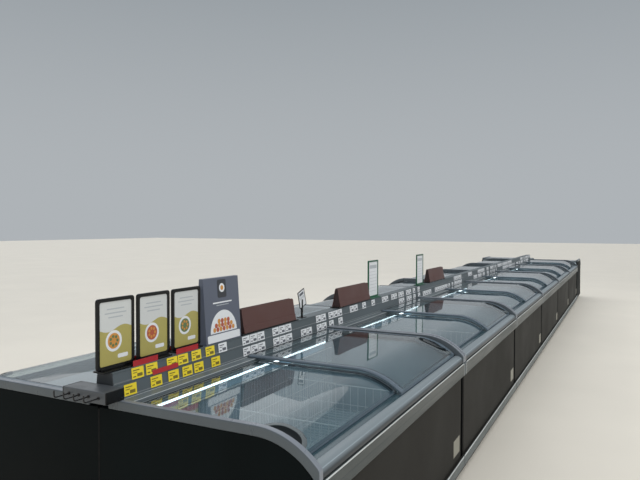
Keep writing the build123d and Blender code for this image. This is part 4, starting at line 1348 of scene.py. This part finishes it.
def signs():
    """Bare brown section signs with a low ledge strip, dark ends and feet."""
    bm, feet = bmesh.new(), bmesh.new()
    base, half, corner = DISPLAY_BASE, 0.300, 0.016
    ledge, top = 0.034, 0.140
    ledge_half = (0.074 + ledge / top * (0.022 - 0.074)) / 2
    low, high = ledge_half - 0.003, 0.011
    bend = [(half - corner + a, top - corner + b) for b, a in arc((0, 0), corner, 0, 90, 6)]
    board = [(-half, ledge), (half, ledge), *bend, *((-a, z) for a, z in reversed(bend))]
    lean = (high - low) / (top - ledge)
    for y in SIGN_YS:
        here = ROW_START + y
        for side in SIDES:
            rings = []
            for x in (low, low - 0.0022):
                rings.append([(side * (x + lean * (z - ledge)), here + a, base + z) for a, z in board])
            loft(bm, rings)
            strip = [(0.037, 0), (ledge_half, ledge), (ledge_half - 0.004, ledge), (0.030, 0)]
            strip = [(side * x, base + z) for x, z in strip]
            prism(bm, strip, here - half, here + half, 0, 0.0008, 1)
        core = [(0.033, base), (0.0085, base + 0.136), (-0.0085, base + 0.136), (-0.033, base)]
        prism(bm, core, here - half + 0.004, here + half - 0.004, 1)
        foot = bmesh.new()
        prism(foot, rounded_box(0.080, 0.660, 0.006, 4), SPINE_TOP, base, 0, 0.0015, upright=True)
        join(feet, foot, Matrix.Translation((0, here, 0)))
    build("sign_panels", bm, ["brown", "brown_dark"], "brown_board", "sign_boards")
    build("sign_bases", feet, ["black"], "black_plastic", "sign_feet")


def lists():
    """Green list frames with a bare white card."""
    bm, cards = bmesh.new(), bmesh.new()
    feet = ((0.107, 0.002), (0.007, 0.103, 0.008, 0.0015))
    middle = DISPLAY_BASE + 0.161
    for y in LIST_YS:
        here = ROW_START + y
        framed(bm, here, (0.226, 0.322), 0.012, 0.014, (0.008, 0.003), feet)
        sheet(cards, (0, here, middle), rounded_box(0.202, 0.298, 0.003, 2), 0.0034, 0)
        for side in SIDES:
            x = side * 0.0019
            head = rounded_box(0.16, 0.030, 0.004, 2)
            sheet(cards, (x, here, middle + 0.105), head, INK_T, 1)
            for k in range(7):
                line = (x, here, middle + 0.062 - 0.028 * k)
                sheet(cards, line, rounded_box(0.16, 0.0025, 0.001, 1), INK_T, 1)
    build("list_surrounds", bm, ["green"], "green_steel", "list_frames")
    build("list_sheets", cards, ["white", "line"], "white_card", "list_cards")


def flag():
    """The leaning price card in its black holder."""
    bm, part = bmesh.new(), bmesh.new()
    here = ROW_START + FLAG_Y
    for x, half, rise in ((0.006, 0.006, 0.125), (0.022, 0.030, 0.004)):
        block(bm, (-x, here - half, SPINE_TOP), (x, here + half, SPINE_TOP + rise), 0, 0.0015)
    ring_frame(part, 0, -0.060, (0.092, 0.120), 0.005, 0.006, (0.005, 0.003))
    sheet(part, (0, 0, 0), rounded_box(0.084, 0.112, 0.002, 2), 0.0024, 1)
    line = rounded_box(0.066, 0.002, 0.0008, 1)
    for side in SIDES:
        for print_shape, z in ((rounded_box(0.058, 0.018, 0.003, 2), 0.034), (line, 0.012), (line, 0.002)):
            sheet(part, (side * 0.0014, 0, z), print_shape, 0.0004, 2)
    place = Matrix.Translation((0, here, SPINE_TOP + 0.130)) @ Matrix.Rotation(math.radians(18), 4, "X")
    join(bm, part, place)
    build("price_card", bm, ["black", "white", "tag_ink"], "white_card", "price_flags")


def hooks():
    """The hook box at the near end and its wire hooks."""
    bm, wires = bmesh.new(), bmesh.new()
    front, back = ROW_START - 0.072, ROW_START + 0.028
    low, high = TRIM_TOP, TRIM_TOP + 0.050
    block(bm, (-0.121, front, low), (0.121, back, high), 0, 0.004, 3)
    for side in SIDES:
        block(bm, (side * 0.119, front, low), (side * 0.125, back, high), 1, 0.003, 3)
    build("hook_housing", bm, ["hook_grey", "black"], "black_plastic", "hook_box")
    z, tip = TRIM_TOP + 0.025, ROW_START - 0.147
    for x in spread(0.084, 3):
        path = [(x, front + 0.004, z), (x, tip, z), (x, tip, z + 0.030)]
        tube(wires, smooth_bend(path, 0.011, 7), 0.003, 12)
        tube(wires, [(x, front - 0.0025, z), (x, front + 0.001, z)], 0.007, 16)
    build("hook_wires", wires, ["hook_wire"], "black_wire", "bag_hooks")


# The scene


studio()
cabinet_ends()
front_panels()
bumpers()
kick_bars()
front_rims()
tank_coves()
tank_wires()
light_strips()
back_tracks()
lids()
carrier()
tags()
posters()
stand()
signs()
lists()
flag()
hooks()
for node, material in (
    ("plinths", "plinth"),
    ("base_housings", "housing"),
    ("tank_floors", "liner"),
    ("tank_back_walls", "liner"),
    ("tank_front_walls", "liner"),
    ("tank_end_walls", "liner"),
    ("joint_strips", "seal_and_painted_shade"),
):
    paint_node(node, material)

bpy.context.scene.view_settings.view_transform = "Standard"
